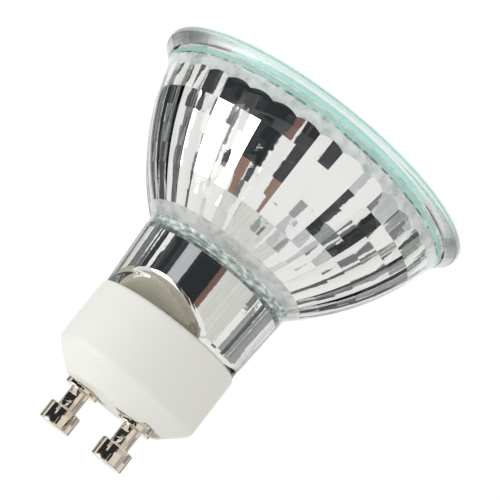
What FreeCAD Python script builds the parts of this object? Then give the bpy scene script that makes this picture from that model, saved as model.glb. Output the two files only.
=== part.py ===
"""Mirrored reflector lamp with a clear front glass and a two-pin twist base.

Millimetres. The lamp stands face down: the front plane is z = 0, the axis of revolution is Z and the
contact pins point up along +Z, side by side on the X axis.
"""
import FreeCAD
import Part
import Sketcher
import math
import os

# Driving dimensions: name, value in millimetres (counts are plain numbers), meaning
SIZES = [
    ("rim_radius", 25.35, "outside of the glass rim"),
    ("rim_edge_height", 0.8, "straight edge of the rim"),
    ("rim_height", 2.7, "front plane to the end of the rim's sloped back"),
    ("rim_wall", 1.95, "rim wall around the front glass"),
    ("rim_overhang", 1.89, "how far the rim stands out from the bowl"),
    ("rim_front_round", 0.25, "round of the rim's front edge"),
    ("rim_back_round", 0.3, "round between the rim's edge and its sloped back"),
    ("bowl_fillet", 0.8, "fillet between the sloped back and the bowl"),
    ("bowl_curve_radius", 38.6, "arc of the bowl's outside"),
    ("bowl_wall", 1.6, "glass between the bowl's arc and the facet corners"),
    ("mouth_wall", 2.16, "glass around the smooth mouth of the mirror"),
    ("facet_columns", 36, "mirror facets around the bowl"),
    ("facet_rows", 7, "mirror facets from the mouth to the throat"),
    ("facet_row_angle", 3.95, "arc taken by one row, in degrees"),
    ("first_row_height", 6.66, "front plane to the end of the first row"),
    ("throat_length", 1.6, "smooth cone between the facets and the neck"),
    ("neck_top_radius", 11.68, "neck where it leaves the bowl"),
    ("neck_top_height", 21.95, "front plane to the start of the neck"),
    ("neck_end_radius", 10.9, "neck where it meets the base"),
    ("neck_end_height", 32.9, "front plane to the end of the neck"),
    ("neck_wall", 2.2, "glass of the neck"),
    ("neck_fillet", 0.9, "fillet between the bowl and the neck"),
    ("flat_depth", 3.3, "how deep the two slanted flats cut at the neck's end"),
    ("flat_height", 2.75, "axial height of the slanted flats"),
    ("cover_recess", 0.05, "rim proud of the front glass"),
    ("cover_thickness", 1.1, "front glass"),
    ("cover_clearance", 0.15, "gap around the front glass"),
    ("cover_bevel", 0.15, "ground edges of the front glass"),
    ("sealant_thickness", 0.15, "bead under the front glass"),
    ("sealant_margin", 0.25, "bead kept back from the mirror's mouth and the rim wall"),
    ("base_radius", 11.25, "outside of the ceramic base"),
    ("base_height", 13.1, "ceramic base along the axis"),
    ("base_bevel_height", 3.4, "cone at the pin end of the base"),
    ("base_end_radius", 7.45, "flat end of the base"),
    ("base_edge_round", 0.5, "softened edges of the base"),
    ("base_bore_radius", 8.2, "hollow of the base"),
    ("base_end_wall", 3.2, "ceramic that carries the pins"),
    ("pin_spacing", 10.0, "between the pin axes"),
    ("pin_foot_radius", 2.48, "wide foot of a pin"),
    ("pin_foot_height", 2.85, "wide foot along the pin"),
    ("pin_foot_bevel", 0.25, "turned edges of a pin"),
    ("pin_shaft_radius", 1.45, "slim part of a pin"),
    ("pin_shaft_length", 3.05, "slim part between the flange and the foot"),
    ("pin_flange_radius", 2.62, "flange that seats on the ceramic"),
    ("pin_flange_thickness", 1.4, "flange along the pin"),
    ("pin_sink", 0.7, "how deep the flange sits in the ceramic"),
    ("pin_seat_clearance", 0.2, "room around the flange in its seat"),
    ("pin_tail_radius", 1.2, "part of the pin inside the ceramic"),
    ("pin_head_radius", 1.75, "swaged head inside the base"),
    ("pin_head_height", 0.6, "swaged head along the pin"),
    ("pin_dimple_radius", 0.5, "centre dimple in the face of the foot"),
    ("pin_dimple_depth", 0.4, "centre dimple along the pin"),
    ("crimp_margin", 0.1, "slim part left plain at each end of the crimp"),
    ("crimp_depth", 0.2, "dent of the crimp in the slim part"),
    ("cement_height", 1.6, "cement that reaches up into the neck"),
    ("bulb_radius", 4.7, "outside of the quartz bulb"),
    ("bulb_wall", 0.9, "quartz wall"),
    ("bulb_length", 11.0, "straight part of the bulb"),
    ("bulb_shoulder", 2.4, "bulb narrowing to the pinch"),
    ("tip_radius", 1.0, "sealed-off tip of the bulb"),
    ("tip_length", 1.3, "tip beyond the dome"),
    ("pinch_width", 8.6, "flat pinch across the wires"),
    ("pinch_thickness", 3.0, "flat pinch through"),
    ("pinch_length", 10.5, "flat pinch along the axis"),
    ("pinch_depth", 3.1, "pinch set into the base"),
    ("wire_offset", 1.6, "lamp wires from the axis"),
    ("filament_radius", 0.45, "outside of the coil"),
    ("filament_leg", 8.4, "straight legs of the coil"),
    ("filament_lead_length", 4.0, "inner wire showing in the bulb"),
    ("inner_lead_radius", 0.3, "wire that carries the coil"),
    ("support_radius", 0.18, "wire that holds the coil's bend"),
    ("support_clearance", 0.1, "loose loop around the coil"),
    ("foil_width", 2.0, "sealing foil"),
    ("foil_thickness", 0.1, "sealing foil"),
    ("foil_length", 5.0, "sealing foil"),
    ("foil_cover", 2.6, "quartz past the foils at the pinch's end"),
    ("outer_lead_radius", 0.4, "wire from the pinch to a pin"),
    ("lead_rise", 1.0, "straight wire out of the pinch"),
    ("lead_sweep", 4.4, "length of the wire's double bend"),
]

FULL_TURN = 360.0
HALF_TURN = 180.0
QUARTER_TURN = 90.0

doc = FreeCAD.newDocument("reflector_lamp")
sheet = doc.addObject("Spreadsheet::Sheet", "Sizes")
for row, (alias, number, meaning) in enumerate(SIZES, start=1):
    sheet.set(f"A{row}", alias)
    sheet.set(f"B{row}", str(number))
    sheet.set(f"C{row}", meaning)
    sheet.setAlias(f"B{row}", alias)
doc.recompute()


def size(alias):
    """Names a cell of the sheet for use in an expression."""
    return f"Sizes.{alias}"


def joined(*terms):
    """Adds expressions; a term that starts with a minus sign is taken away."""
    return " + ".join(f"({term})" for term in terms)


def number_of(expression):
    """Gives the number that an expression comes to, to start a sketch near its solution."""
    return float(sheet.evalExpression(expression))


def plane_of(body, role):
    """Finds one of a body's own origin planes."""
    return next(item for item in body.Origin.OriginFeatures if item.Role == role)


def new_sketch(body, name, role, offset=None):
    """Attaches a sketch to an origin plane, raised by an expression if one is given."""
    sketch = body.newObject("Sketcher::SketchObject", name)
    sketch.AttachmentSupport = (plane_of(body, role), [""])
    sketch.MapMode = "FlatFace"
    if offset:
        sketch.setExpression("AttachmentOffset.Base.z", offset)
    return sketch


def bind(sketch, constraint, expression):
    """Adds a constraint and ties its value to the sheet."""
    index = sketch.addConstraint(constraint)
    sketch.setExpression(f"Constraints[{index}]", expression)


def fix_corner(sketch, edge, end, across, along):
    """Holds one end of an edge at two expressions; None keeps it on that axis."""
    origin, horizontal, vertical = -1, -1, -2
    if across is None:
        sketch.addConstraint(Sketcher.Constraint("PointOnObject", edge, end, vertical))
    else:
        bind(sketch, Sketcher.Constraint("DistanceX", origin, 1, edge, end, number_of(across)), across)
    if along is None:
        sketch.addConstraint(Sketcher.Constraint("PointOnObject", edge, end, horizontal))
    else:
        bind(sketch, Sketcher.Constraint("DistanceY", origin, 1, edge, end, number_of(along)), along)


def arc_between(start, end, radius):
    """Gives the minor arc that bulges to the right of the way from start to end."""
    chord = end - start
    middle = (start + end) * 0.5
    rightward = FreeCAD.Vector(chord.y, -chord.x, 0).normalize()
    reach = math.sqrt(max(radius ** 2 - (chord.Length / 2) ** 2, 0.0))
    crest = middle + rightward * (radius - reach)
    return Part.Arc(start, crest, end)


def draw_outline(sketch, corners, arcs=None):
    """Draws a closed outline through corners of expressions; arcs gives radii by the corner they start from."""
    arcs = arcs or {}
    spots = []
    for across, along in corners:
        x = 0.0 if across is None else number_of(across)
        y = 0.0 if along is None else number_of(along)
        spots.append(FreeCAD.Vector(x, y, 0))
    edges = []
    start_ends = []
    for index, spot in enumerate(spots):
        following = spots[(index + 1) % len(spots)]
        if index in arcs:
            curve = arc_between(spot, following, number_of(arcs[index]))
            edge = sketch.addGeometry(curve, False)
            near = (sketch.getPoint(edge, 1) - spot).Length < (sketch.getPoint(edge, 2) - spot).Length
            start_ends.append(1 if near else 2)
        else:
            edge = sketch.addGeometry(Part.LineSegment(spot, following), False)
            start_ends.append(1)
        edges.append(edge)
    for index, edge in enumerate(edges):
        following = (index + 1) % len(edges)
        closing_end = 3 - start_ends[index]
        sketch.addConstraint(
            Sketcher.Constraint("Coincident", edge, closing_end, edges[following], start_ends[following]))
    for index, (across, along) in enumerate(corners):
        fix_corner(sketch, edges[index], start_ends[index], across, along)
    for index, radius in arcs.items():
        bind(sketch, Sketcher.Constraint("Radius", edges[index], number_of(radius)), radius)


def new_body(name):
    """Starts a body that is labelled with its own name."""
    body = doc.addObject("PartDesign::Body", name)
    body.Label = name
    return body


def revolve(body, name, corners, arcs=None, kind="PartDesign::Revolution"):
    """Turns an outline of radius and height about the Z axis."""
    sketch = new_sketch(body, f"{name}_outline", "XZ_Plane")
    draw_outline(sketch, corners, arcs)
    turned = body.newObject(kind, name)
    turned.Profile = sketch
    turned.ReferenceAxis = (sketch, ["V_Axis"])
    turned.Angle = FULL_TURN
    body.Tip = turned
    doc.recompute()
    return turned


def round_edges(body, name, radius, places):
    """Fillets the full circles whose radius and height are given by pairs of expressions."""
    base = body.Tip
    wanted = [(number_of(across), number_of(along)) for across, along in places]
    chosen = []
    for index, edge in enumerate(base.Shape.Edges, start=1):
        if not isinstance(edge.Curve, Part.Circle):
            continue
        for across, along in wanted:
            if math.isclose(edge.Curve.Radius, across, abs_tol=1e-4) and \
                    math.isclose(edge.Curve.Center.z, along, abs_tol=1e-4):
                chosen.append(f"Edge{index}")
    if len(chosen) < len(wanted):
        raise RuntimeError(f"{name}: not every edge to round was found")
    rounded = body.newObject("PartDesign::Fillet", name)
    rounded.Base = (base, chosen)
    rounded.setExpression("Radius", radius)
    body.Tip = rounded
    doc.recompute()


def cut_through(body, name, sketch):
    """Pockets a sketch right through a body, both ways, and checks that something went."""
    before = body.Tip.Shape.Volume
    pocket = body.newObject("PartDesign::Pocket", name)
    pocket.Profile = sketch
    pocket.Type = "ThroughAll"
    pocket.Midplane = True
    body.Tip = pocket
    doc.recompute()
    if pocket.Shape.Volume >= before:
        raise RuntimeError(f"{name} cut nothing")


def boolean(kind, name, base, *tools):
    """Cuts tools from a base, or keeps what two solids share, as one named object."""
    result = doc.addObject(kind, name)
    result.Label = name
    if kind == "Part::Cut" and len(tools) > 1:
        gathered = doc.addObject("Part::MultiFuse", f"{name}_tools")
        gathered.Shapes = list(tools)
        tools = (gathered,)
    result.Base = base
    result.Tool = tools[0]
    doc.recompute()
    return result


# Shared places, worked out from the sheet
bowl_top_radius = joined(size("rim_radius"), "-" + size("rim_overhang"))
seat_radius = joined(size("rim_radius"), "-" + size("rim_wall"))
seat_height = joined(size("cover_recess"), size("cover_thickness"), size("sealant_thickness"))
mouth_radius = joined(bowl_top_radius, "-" + size("mouth_wall"))
neck_bore_top = joined(size("neck_top_radius"), "-" + size("neck_wall"))
neck_bore_end = joined(size("neck_end_radius"), "-" + size("neck_wall"))
base_end_height = joined(size("neck_end_height"), size("base_height"))
base_floor_height = joined(base_end_height, "-" + size("base_end_wall"))
flange_height = joined(base_end_height, "-" + size("pin_sink"))
shaft_height = joined(flange_height, size("pin_flange_thickness"))
foot_height = joined(shaft_height, size("pin_shaft_length"))
pin_end_height = joined(foot_height, size("pin_foot_height"))
pin_head_height = joined(base_floor_height, "-" + size("pin_head_height"))
pin_offset = f"{size('pin_spacing')} / 2"
pinch_end_height = joined(size("neck_end_height"), size("pinch_depth"))
pinch_front_height = joined(pinch_end_height, "-" + size("pinch_length"))
foil_end_height = joined(pinch_end_height, "-" + size("foil_cover"))
foil_front_height = joined(foil_end_height, "-" + size("foil_length"))
coil_end_height = joined(pinch_front_height, "-" + size("filament_lead_length"))
coil_bend_height = joined(coil_end_height, "-" + size("filament_leg"))

# Centre of the bowl's arc, from its two ends and its radius
chord_across = joined(bowl_top_radius, "-" + size("neck_top_radius"))
chord_along = joined(size("neck_top_height"), "-" + size("rim_height"))
chord_length = f"sqrt(({chord_across})^2 + ({chord_along})^2)"
arc_reach = f"sqrt({size('bowl_curve_radius')}^2 - ({chord_length})^2 / 4)"
arc_centre_across = (f"({bowl_top_radius} + {size('neck_top_radius')}) / 2"
                     f" - {arc_reach} * ({chord_along}) / {chord_length}")
arc_centre_along = (f"({size('rim_height')} + {size('neck_top_height')}) / 2"
                    f" - {arc_reach} * ({chord_across}) / {chord_length}")
facet_arc = joined(size("bowl_curve_radius"), "-" + size("bowl_wall"))


def arc_angle(height):
    """Where a height lies on the facet arc, in degrees from the arc's level."""
    return f"asin(({height} - ({arc_centre_along})) / ({facet_arc}))"


def facet_ring(angle):
    """Radius and height of a ring of facet corners at an angle on the facet arc."""
    radius = f"({arc_centre_across}) + ({facet_arc}) * cos({angle})"
    height = f"({arc_centre_along}) + ({facet_arc}) * sin({angle})"
    return radius, height


facet_rows = int(sheet.facet_rows)
ring_angles = [arc_angle(size("cover_recess"))]
for ring in range(facet_rows + 1):
    ring_angles.append(f"{arc_angle(size('first_row_height'))} + {ring} * {size('facet_row_angle')} * 1 deg")
rings = [facet_ring(angle) for angle in ring_angles]
throat_radius, throat_height = rings[facet_rows]
neck_bore_height = joined(throat_height, size("throat_length"))


def half_moon_cutters(sketch, wall):
    """Draws the two slanted flats of the neck as triangles that open outwards, a wall inside its surface."""
    depth, height = size("flat_depth"), size("flat_height")
    slant = f"sqrt({depth}^2 + {height}^2)"
    inner = joined(size("neck_end_radius"), "-" + depth, f"-({wall}) * {slant} / {height}")
    reach = size("base_radius")
    drop = f"(({reach}) - ({inner})) * {height} / {depth}"
    end = size("neck_end_height")
    for side in ("", "-"):
        corners = [(f"{side}({inner})", end),
                   (f"{side}({reach})", end),
                   (f"{side}({reach})", f"{end} - {drop}")]
        draw_outline(sketch, corners)


def make_reflector():
    """Pressed glass: rim with a seat for the front glass, faceted bowl and a neck with two slanted flats."""
    outside = new_body("reflector_outside")
    revolve(outside, "reflector_blank", [
        (None, None),
        (size("rim_radius"), None),
        (size("rim_radius"), size("rim_edge_height")),
        (bowl_top_radius, size("rim_height")),
        (size("neck_top_radius"), size("neck_top_height")),
        (size("neck_end_radius"), size("neck_end_height")),
        (None, size("neck_end_height")),
    ], arcs={3: size("bowl_curve_radius")})
    round_edges(outside, "rim_front_rounding", size("rim_front_round"), [(size("rim_radius"), "0")])
    round_edges(outside, "rim_back_rounding", size("rim_back_round"), [
        (size("rim_radius"), size("rim_edge_height"))])
    round_edges(outside, "bowl_filleting", size("bowl_fillet"), [(bowl_top_radius, size("rim_height"))])
    round_edges(outside, "neck_filleting", size("neck_fillet"), [(size("neck_top_radius"), size("neck_top_height"))])
    flats = new_sketch(outside, "neck_flats_outline", "YZ_Plane")
    half_moon_cutters(flats, "0")
    cut_through(outside, "neck_flats", flats)

    polygons = []
    for index, (radius, height) in enumerate(rings):
        polygon = doc.addObject("Part::RegularPolygon", f"facet_ring_{index}")
        polygon.setExpression("Polygon", size("facet_columns"))
        polygon.setExpression("Circumradius", radius)
        polygon.setExpression("Placement.Base.z", height)
        polygons.append(polygon)
    facets = doc.addObject("Part::Loft", "mirror_facets")
    facets.Sections = polygons
    facets.Solid = True
    facets.Ruled = True
    doc.recompute()

    trim = new_body("mirror_trim")
    trim_drop = (f"({throat_height}) + {size('throat_length')} * (({throat_radius}) - ({mouth_radius}))"
                 f" / (({throat_radius}) - ({neck_bore_top}))")
    revolve(trim, "mirror_limit", [
        (None, seat_height),
        (mouth_radius, seat_height),
        (mouth_radius, trim_drop),
        (neck_bore_top, neck_bore_height),
        (None, neck_bore_height),
    ])
    bowl_hollow = boolean("Part::Common", "bowl_hollow", facets, trim)

    bore = new_body("neck_bore")
    bore_start = joined(throat_height, "-" + size("throat_length"))
    revolve(bore, "neck_hollow", [
        (None, bore_start),
        (neck_bore_top, bore_start),
        (neck_bore_top, neck_bore_height),
        (neck_bore_end, size("neck_end_height")),
        (None, size("neck_end_height")),
    ])
    inner_flats = new_sketch(bore, "inner_flats_outline", "YZ_Plane")
    half_moon_cutters(inner_flats, size("neck_wall"))
    cut_through(bore, "inner_flats", inner_flats)

    seat = doc.addObject("Part::Cylinder", "cover_seat")
    seat.setExpression("Radius", seat_radius)
    seat.setExpression("Height", seat_height)
    return boolean("Part::Cut", "reflector", outside, bowl_hollow, bore, seat), bore


def make_front_glass():
    """Flat clear disc with ground edges, let into the rim."""
    body = new_body("front_glass")
    edge = joined(seat_radius, "-" + size("cover_clearance"))
    inset = joined(edge, "-" + size("cover_bevel"))
    front = size("cover_recess")
    back = joined(front, size("cover_thickness"))
    revolve(body, "front_disc", [
        (None, front),
        (inset, front),
        (edge, joined(front, size("cover_bevel"))),
        (edge, joined(back, "-" + size("cover_bevel"))),
        (inset, back),
        (None, back),
    ])
    return body


def make_rim_sealant():
    """Thin bead between the front glass and its seat."""
    body = new_body("rim_sealant")
    inner = joined(mouth_radius, size("sealant_margin"))
    outer = joined(seat_radius, "-" + size("cover_clearance"), "-" + size("cover_bevel"),
                   "-" + size("sealant_margin"))
    bottom = joined(size("cover_recess"), size("cover_thickness"))
    revolve(body, "sealant_bead", [
        (inner, bottom), (outer, bottom), (outer, seat_height), (inner, seat_height)])
    return body


def make_ceramic_base():
    """Hollow ceramic cup with a coned end and two open seats for the pin flanges."""
    body = new_body("ceramic_base")
    bevel_start = joined(base_end_height, "-" + size("base_bevel_height"))
    revolve(body, "base_cup", [
        (size("base_bore_radius"), size("neck_end_height")),
        (size("base_radius"), size("neck_end_height")),
        (size("base_radius"), bevel_start),
        (size("base_end_radius"), base_end_height),
        (None, base_end_height),
        (None, base_floor_height),
        (size("base_bore_radius"), base_floor_height),
    ])
    round_edges(body, "base_rounding", size("base_edge_round"), [
        (size("base_radius"), size("neck_end_height")),
        (size("base_radius"), bevel_start),
        (size("base_end_radius"), base_end_height),
    ])
    seat_half = joined(size("pin_flange_radius"), size("pin_seat_clearance"))
    seats = new_sketch(body, "pin_seat_outline", "XY_Plane", flange_height)
    inner_reach = joined(pin_offset, f"-({seat_half})")
    corners = [(inner_reach, f"-({seat_half})"), (size("base_radius"), f"-({seat_half})"),
               (size("base_radius"), seat_half), (inner_reach, seat_half)]
    draw_outline(seats, corners)
    draw_outline(seats, [(f"-({across})", along) for across, along in corners])
    before = body.Tip.Shape.Volume
    pocket = body.newObject("PartDesign::Pocket", "pin_seats")
    pocket.Profile = seats
    pocket.Reversed = True
    pocket.Type = "ThroughAll"
    body.Tip = pocket
    doc.recompute()
    if pocket.Shape.Volume >= before:
        raise RuntimeError("the pin seats cut nothing")
    holes = new_sketch(body, "pin_hole_outline", "XY_Plane")
    for side in ("", "-"):
        centre = FreeCAD.Vector(number_of(side + pin_offset), 0, 0)
        hole = holes.addGeometry(
            Part.Circle(centre, FreeCAD.Vector(0, 0, 1), number_of(size("pin_tail_radius"))), False)
        fix_corner(holes, hole, 3, side + pin_offset, None)
        bind(holes, Sketcher.Constraint("Radius", hole, centre.Length), size("pin_tail_radius"))
    cut_through(body, "pin_holes", holes)
    return body


def make_contact_pin(name, side):
    """Turned and plated pin: wide foot, crimped shaft, flange, and a tail swaged over inside the base.

    A blind bore takes the wire as far as the foot.
    """
    body = new_body(name)
    bore, bevel = size("outer_lead_radius"), size("pin_foot_bevel")
    foot, flange = size("pin_foot_radius"), size("pin_flange_radius")
    shaft, tail, head = size("pin_shaft_radius"), size("pin_tail_radius"), size("pin_head_radius")
    revolve(body, f"{name}_turning", [
        (bore, pin_head_height),
        (head, pin_head_height),
        (head, base_floor_height),
        (tail, base_floor_height),
        (tail, flange_height),
        (flange, flange_height),
        (flange, shaft_height),
        (shaft, shaft_height),
        (shaft, foot_height),
        (joined(foot, "-" + bevel), foot_height),
        (foot, joined(foot_height, bevel)),
        (foot, joined(pin_end_height, "-" + bevel)),
        (joined(foot, "-" + bevel), pin_end_height),
        (size("pin_dimple_radius"), pin_end_height),
        (None, joined(pin_end_height, "-" + size("pin_dimple_depth"))),
        (None, foot_height),
        (bore, foot_height),
    ])
    crimp = new_sketch(body, f"{name}_crimp_outline", "YZ_Plane")
    margin, depth = size("crimp_margin"), size("crimp_depth")
    surface = "-" + shaft
    start, end = joined(shaft_height, margin), joined(foot_height, "-" + margin)
    half_length = f"(({end}) - ({start})) / 2"
    curve = f"(({half_length})^2 + {depth}^2) / (2 * {depth})"
    draw_outline(crimp, [(surface, start), (surface, end)], arcs={0: curve})
    cut_through(body, f"{name}_crimp", crimp)
    body.setExpression("Placement.Base.x", side + pin_offset)
    doc.recompute()
    return body


def make_capsule_blank():
    """Quartz bulb with a sealed-off tip and a flat pinch, before the wires are let in."""
    body = new_body("capsule_blank")
    shoulder = joined(pinch_front_height, "-" + size("bulb_shoulder"))
    dome = joined(shoulder, "-" + size("bulb_length"))
    half_pinch = size("pinch_thickness") + " / 2"
    tip_base = f"{dome} - sqrt({size('bulb_radius')}^2 - {size('tip_radius')}^2)"
    tip_end = joined(dome, "-" + size("bulb_radius"), "-" + size("tip_length"))
    revolve(body, "bulb_outside", [
        (None, tip_end),
        (size("tip_radius"), tip_base),
        (size("bulb_radius"), dome),
        (size("bulb_radius"), shoulder),
        (half_pinch, joined(pinch_front_height, size("bulb_wall"))),
        (None, joined(pinch_front_height, size("bulb_wall"))),
    ], arcs={1: size("bulb_radius")})
    outline = new_sketch(body, "pinch_outline", "XY_Plane", pinch_front_height)
    half_width = size("pinch_width") + " / 2"
    draw_outline(outline, [(f"-{half_width}", f"-{half_pinch}"), (half_width, f"-{half_pinch}"),
                           (half_width, half_pinch), (f"-{half_width}", half_pinch)])
    pinch = body.newObject("PartDesign::Pad", "pinch")
    pinch.Profile = outline
    pinch.setExpression("Length", size("pinch_length"))
    body.Tip = pinch
    doc.recompute()
    inner = joined(size("bulb_radius"), "-" + size("bulb_wall"))
    revolve(body, "bulb_inside", [
        (None, joined(dome, f"-({inner})")),
        (inner, dome),
        (inner, shoulder),
        (joined(half_pinch, "-" + size("bulb_wall")), joined(pinch_front_height, "-" + size("bulb_wall"))),
        (None, joined(pinch_front_height, "-" + size("bulb_wall"))),
    ], arcs={0: inner}, kind="PartDesign::Groove")
    return body


def make_rod(name, across, radius, bottom, top):
    """Straight round wire parallel to the axis."""
    rod = doc.addObject("Part::Cylinder", name)
    rod.Label = name
    rod.setExpression("Radius", radius)
    rod.setExpression("Height", f"{top} - ({bottom})")
    rod.setExpression("Placement.Base.x", across)
    rod.setExpression("Placement.Base.z", bottom)
    return rod


def make_foil(name, side):
    """Thin metal strip that seals the wire through the pinch."""
    foil = doc.addObject("Part::Box", name)
    foil.Label = name
    foil.setExpression("Length", size("foil_width"))
    foil.setExpression("Width", size("foil_thickness"))
    foil.setExpression("Height", size("foil_length"))
    foil.setExpression("Placement.Base.x", f"{side}{size('wire_offset')} - {size('foil_width')} / 2")
    foil.setExpression("Placement.Base.y", f"-{size('foil_thickness')} / 2")
    foil.setExpression("Placement.Base.z", foil_front_height)
    return foil


def swept_wire(name, draw_path, across, start_height, radius):
    """Round wire along a path in the XZ plane that starts parallel to the axis."""
    body = new_body(name)
    path = new_sketch(body, f"{name}_path", "XZ_Plane")
    draw_path(path)
    section = new_sketch(body, f"{name}_section", "XY_Plane", start_height)
    centre = FreeCAD.Vector(number_of(across), 0, 0)
    ring = section.addGeometry(Part.Circle(centre, FreeCAD.Vector(0, 0, 1), number_of(radius)), False)
    fix_corner(section, ring, 3, across, None)
    bind(section, Sketcher.Constraint("Radius", ring, number_of(radius)), radius)
    doc.recompute()
    wire = body.newObject("PartDesign::AdditivePipe", f"{name}_wire")
    wire.Profile = section
    wire.Spine = (path, [f"Edge{index + 1}" for index in range(path.GeometryCount)])
    body.Tip = wire
    doc.recompute()
    return body


def draw_outer_lead(path):
    """Straight out of the pinch, a double bend out to the pin, then straight up the pin's bore to its end."""
    near, far = size("wire_offset"), pin_offset
    bend_start = joined(pinch_end_height, size("lead_rise"))
    bend_end = joined(bend_start, size("lead_sweep"))
    step = f"(({far}) - {near})"
    turn = f"2 * atan({step} / {size('lead_sweep')})"
    radius = f"{size('lead_sweep')} / (2 * sin({turn}))"
    middle = (f"({near} + {far}) / 2", f"({bend_start} + {bend_end}) / 2")

    def spot(across, along):
        return FreeCAD.Vector(number_of(across), number_of(along), 0)

    stops = [(near, foil_end_height), (near, bend_start), middle, (far, bend_end), (far, foot_height)]
    spots = [spot(*stop) for stop in stops]
    bend = number_of(radius)
    first = path.addGeometry(Part.LineSegment(spots[0], spots[1]), False)
    outward = path.addGeometry(arc_between(spots[2], spots[1], bend), False)
    upward = path.addGeometry(arc_between(spots[2], spots[3], bend), False)
    last = path.addGeometry(Part.LineSegment(spots[3], spots[4]), False)
    fix_corner(path, first, 1, *stops[0])
    fix_corner(path, first, 2, *stops[1])
    fix_corner(path, last, 1, *stops[3])
    fix_corner(path, last, 2, *stops[4])
    for edge, stop_pair in ((outward, (1, 2)), (upward, (2, 3))):
        ends = {}
        for stop in stop_pair:
            gap = (path.getPoint(edge, 1) - spots[stop]).Length - (path.getPoint(edge, 2) - spots[stop]).Length
            ends[stop] = 1 if gap < 0 else 2
        if edge == outward:
            path.addConstraint(Sketcher.Constraint("Coincident", edge, ends[1], first, 2))
            fix_corner(path, edge, ends[2], *middle)
            outward_end = ends[2]
        else:
            path.addConstraint(Sketcher.Constraint("Coincident", edge, ends[3], last, 1))
            path.addConstraint(Sketcher.Constraint("Coincident", edge, ends[2], outward, outward_end))
        bind(path, Sketcher.Constraint("Radius", edge, bend), radius)


def draw_filament(path):
    """Two straight legs joined by a half turn at the front."""
    near = size("wire_offset")
    low, high = coil_bend_height, coil_end_height
    corners = [FreeCAD.Vector(number_of(across), number_of(along), 0) for across, along in
               ((near, high), (near, low), (f"-{near}", low), (f"-{near}", high))]
    crest = FreeCAD.Vector(0, number_of(low) - number_of(near), 0)
    first = path.addGeometry(Part.LineSegment(corners[0], corners[1]), False)
    bend = path.addGeometry(Part.Arc(corners[1], crest, corners[2]), False)
    last = path.addGeometry(Part.LineSegment(corners[2], corners[3]), False)
    fix_corner(path, first, 1, near, high)
    fix_corner(path, first, 2, near, low)
    fix_corner(path, last, 1, f"-{near}", low)
    fix_corner(path, last, 2, f"-{near}", high)
    starts_right = path.getPoint(bend, 1).x > 0
    path.addConstraint(Sketcher.Constraint("Coincident", bend, 1 if starts_right else 2, first, 2))
    path.addConstraint(Sketcher.Constraint("Coincident", bend, 2 if starts_right else 1, last, 1))
    bind(path, Sketcher.Constraint("DistanceY", -1, 1, bend, 3, number_of(low)), low)


def make_filament_support():
    """Thin wire out of the pinch, with a loop that holds the coil's bend."""
    loop_radius = joined(size("filament_radius"), size("support_clearance"), size("support_radius"))
    crest = joined(coil_bend_height, "-" + size("wire_offset"))
    stem = make_rod("support_stem", "0", size("support_radius"), joined(crest, loop_radius), foil_front_height)
    loop = doc.addObject("Part::Torus", "support_loop")
    loop.setExpression("Radius1", loop_radius)
    loop.setExpression("Radius2", size("support_radius"))
    loop.Placement.Rotation = FreeCAD.Rotation(FreeCAD.Vector(0, 1, 0), QUARTER_TURN)
    loop.setExpression("Placement.Base.z", crest)
    support = doc.addObject("Part::Fuse", "filament_support")
    support.Label = "filament_support"
    support.Base = stem
    support.Tool = loop
    doc.recompute()
    return support


def make_base_cement(bore, *inclusions):
    """Cast cement that fills the base and the end of the neck, and grips the pinch and the wires."""
    plug = doc.addObject("Part::Cylinder", "cement_plug")
    plug.setExpression("Radius", size("base_bore_radius"))
    plug.setExpression("Height", f"{base_floor_height} - {size('neck_end_height')}")
    plug.setExpression("Placement.Base.z", size("neck_end_height"))
    slab = doc.addObject("Part::Cylinder", "cement_slab")
    slab.setExpression("Radius", size("base_radius"))
    slab.setExpression("Height", size("cement_height"))
    slab.setExpression("Placement.Base.z", f"{size('neck_end_height')} - {size('cement_height')}")
    collar = boolean("Part::Common", "cement_collar", bore, slab)
    cast = doc.addObject("Part::Fuse", "cement_cast")
    cast.Base = plug
    cast.Tool = collar
    doc.recompute()
    return boolean("Part::Cut", "base_cement", cast, *inclusions)


reflector, neck_bore = make_reflector()
front_glass = make_front_glass()
rim_sealant = make_rim_sealant()
ceramic_base = make_ceramic_base()
filament = swept_wire("filament", draw_filament, size("wire_offset"), coil_end_height, size("filament_radius"))
support = make_filament_support()
pins, foils, inner_leads, outer_leads = [], [], [], []
for word, side in (("left", "-"), ("right", "")):
    pins.append(make_contact_pin(f"contact_pin_{word}", side))
    foils.append(make_foil(f"seal_foil_{word}", side))
    inner_leads.append(make_rod(f"inner_lead_{word}", side + size("wire_offset"), size("inner_lead_radius"),
                                coil_end_height, foil_front_height))
    lead = swept_wire(f"outer_lead_{word}", draw_outer_lead, size("wire_offset"), foil_end_height,
                      size("outer_lead_radius"))
    if side:
        lead.Placement = FreeCAD.Placement(
            FreeCAD.Vector(), FreeCAD.Rotation(FreeCAD.Vector(0, 0, 1), HALF_TURN))
    outer_leads.append(lead)
doc.recompute()
capsule_blank = make_capsule_blank()
capsule_glass = boolean("Part::Cut", "capsule_glass", capsule_blank, support, *foils, *inner_leads, *outer_leads)
base_cement = make_base_cement(neck_bore, capsule_blank, *outer_leads, *pins)
doc.recompute()

pieces = [reflector, front_glass, rim_sealant, ceramic_base, base_cement, capsule_glass, filament, support]
pieces += pins + foils + inner_leads + outer_leads

for item in doc.Objects:
    if "Invalid" in item.State or "Error" in item.State:
        raise RuntimeError(f"{item.Label} did not build: {item.State}")
for piece in pieces:
    if piece.Shape.isNull() or not piece.Shape.isValid():
        raise RuntimeError(f"{piece.Label} has no valid shape")
os.makedirs("parts", exist_ok=True)
for piece in pieces:
    piece.Shape.exportStep(f"parts/{piece.Label}.step")
    print(piece.Label, len(piece.Shape.Solids), round(piece.Shape.Volume, 2))
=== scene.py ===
import math

import bmesh
import bpy
from mathutils import Matrix, Vector, noise


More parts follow.
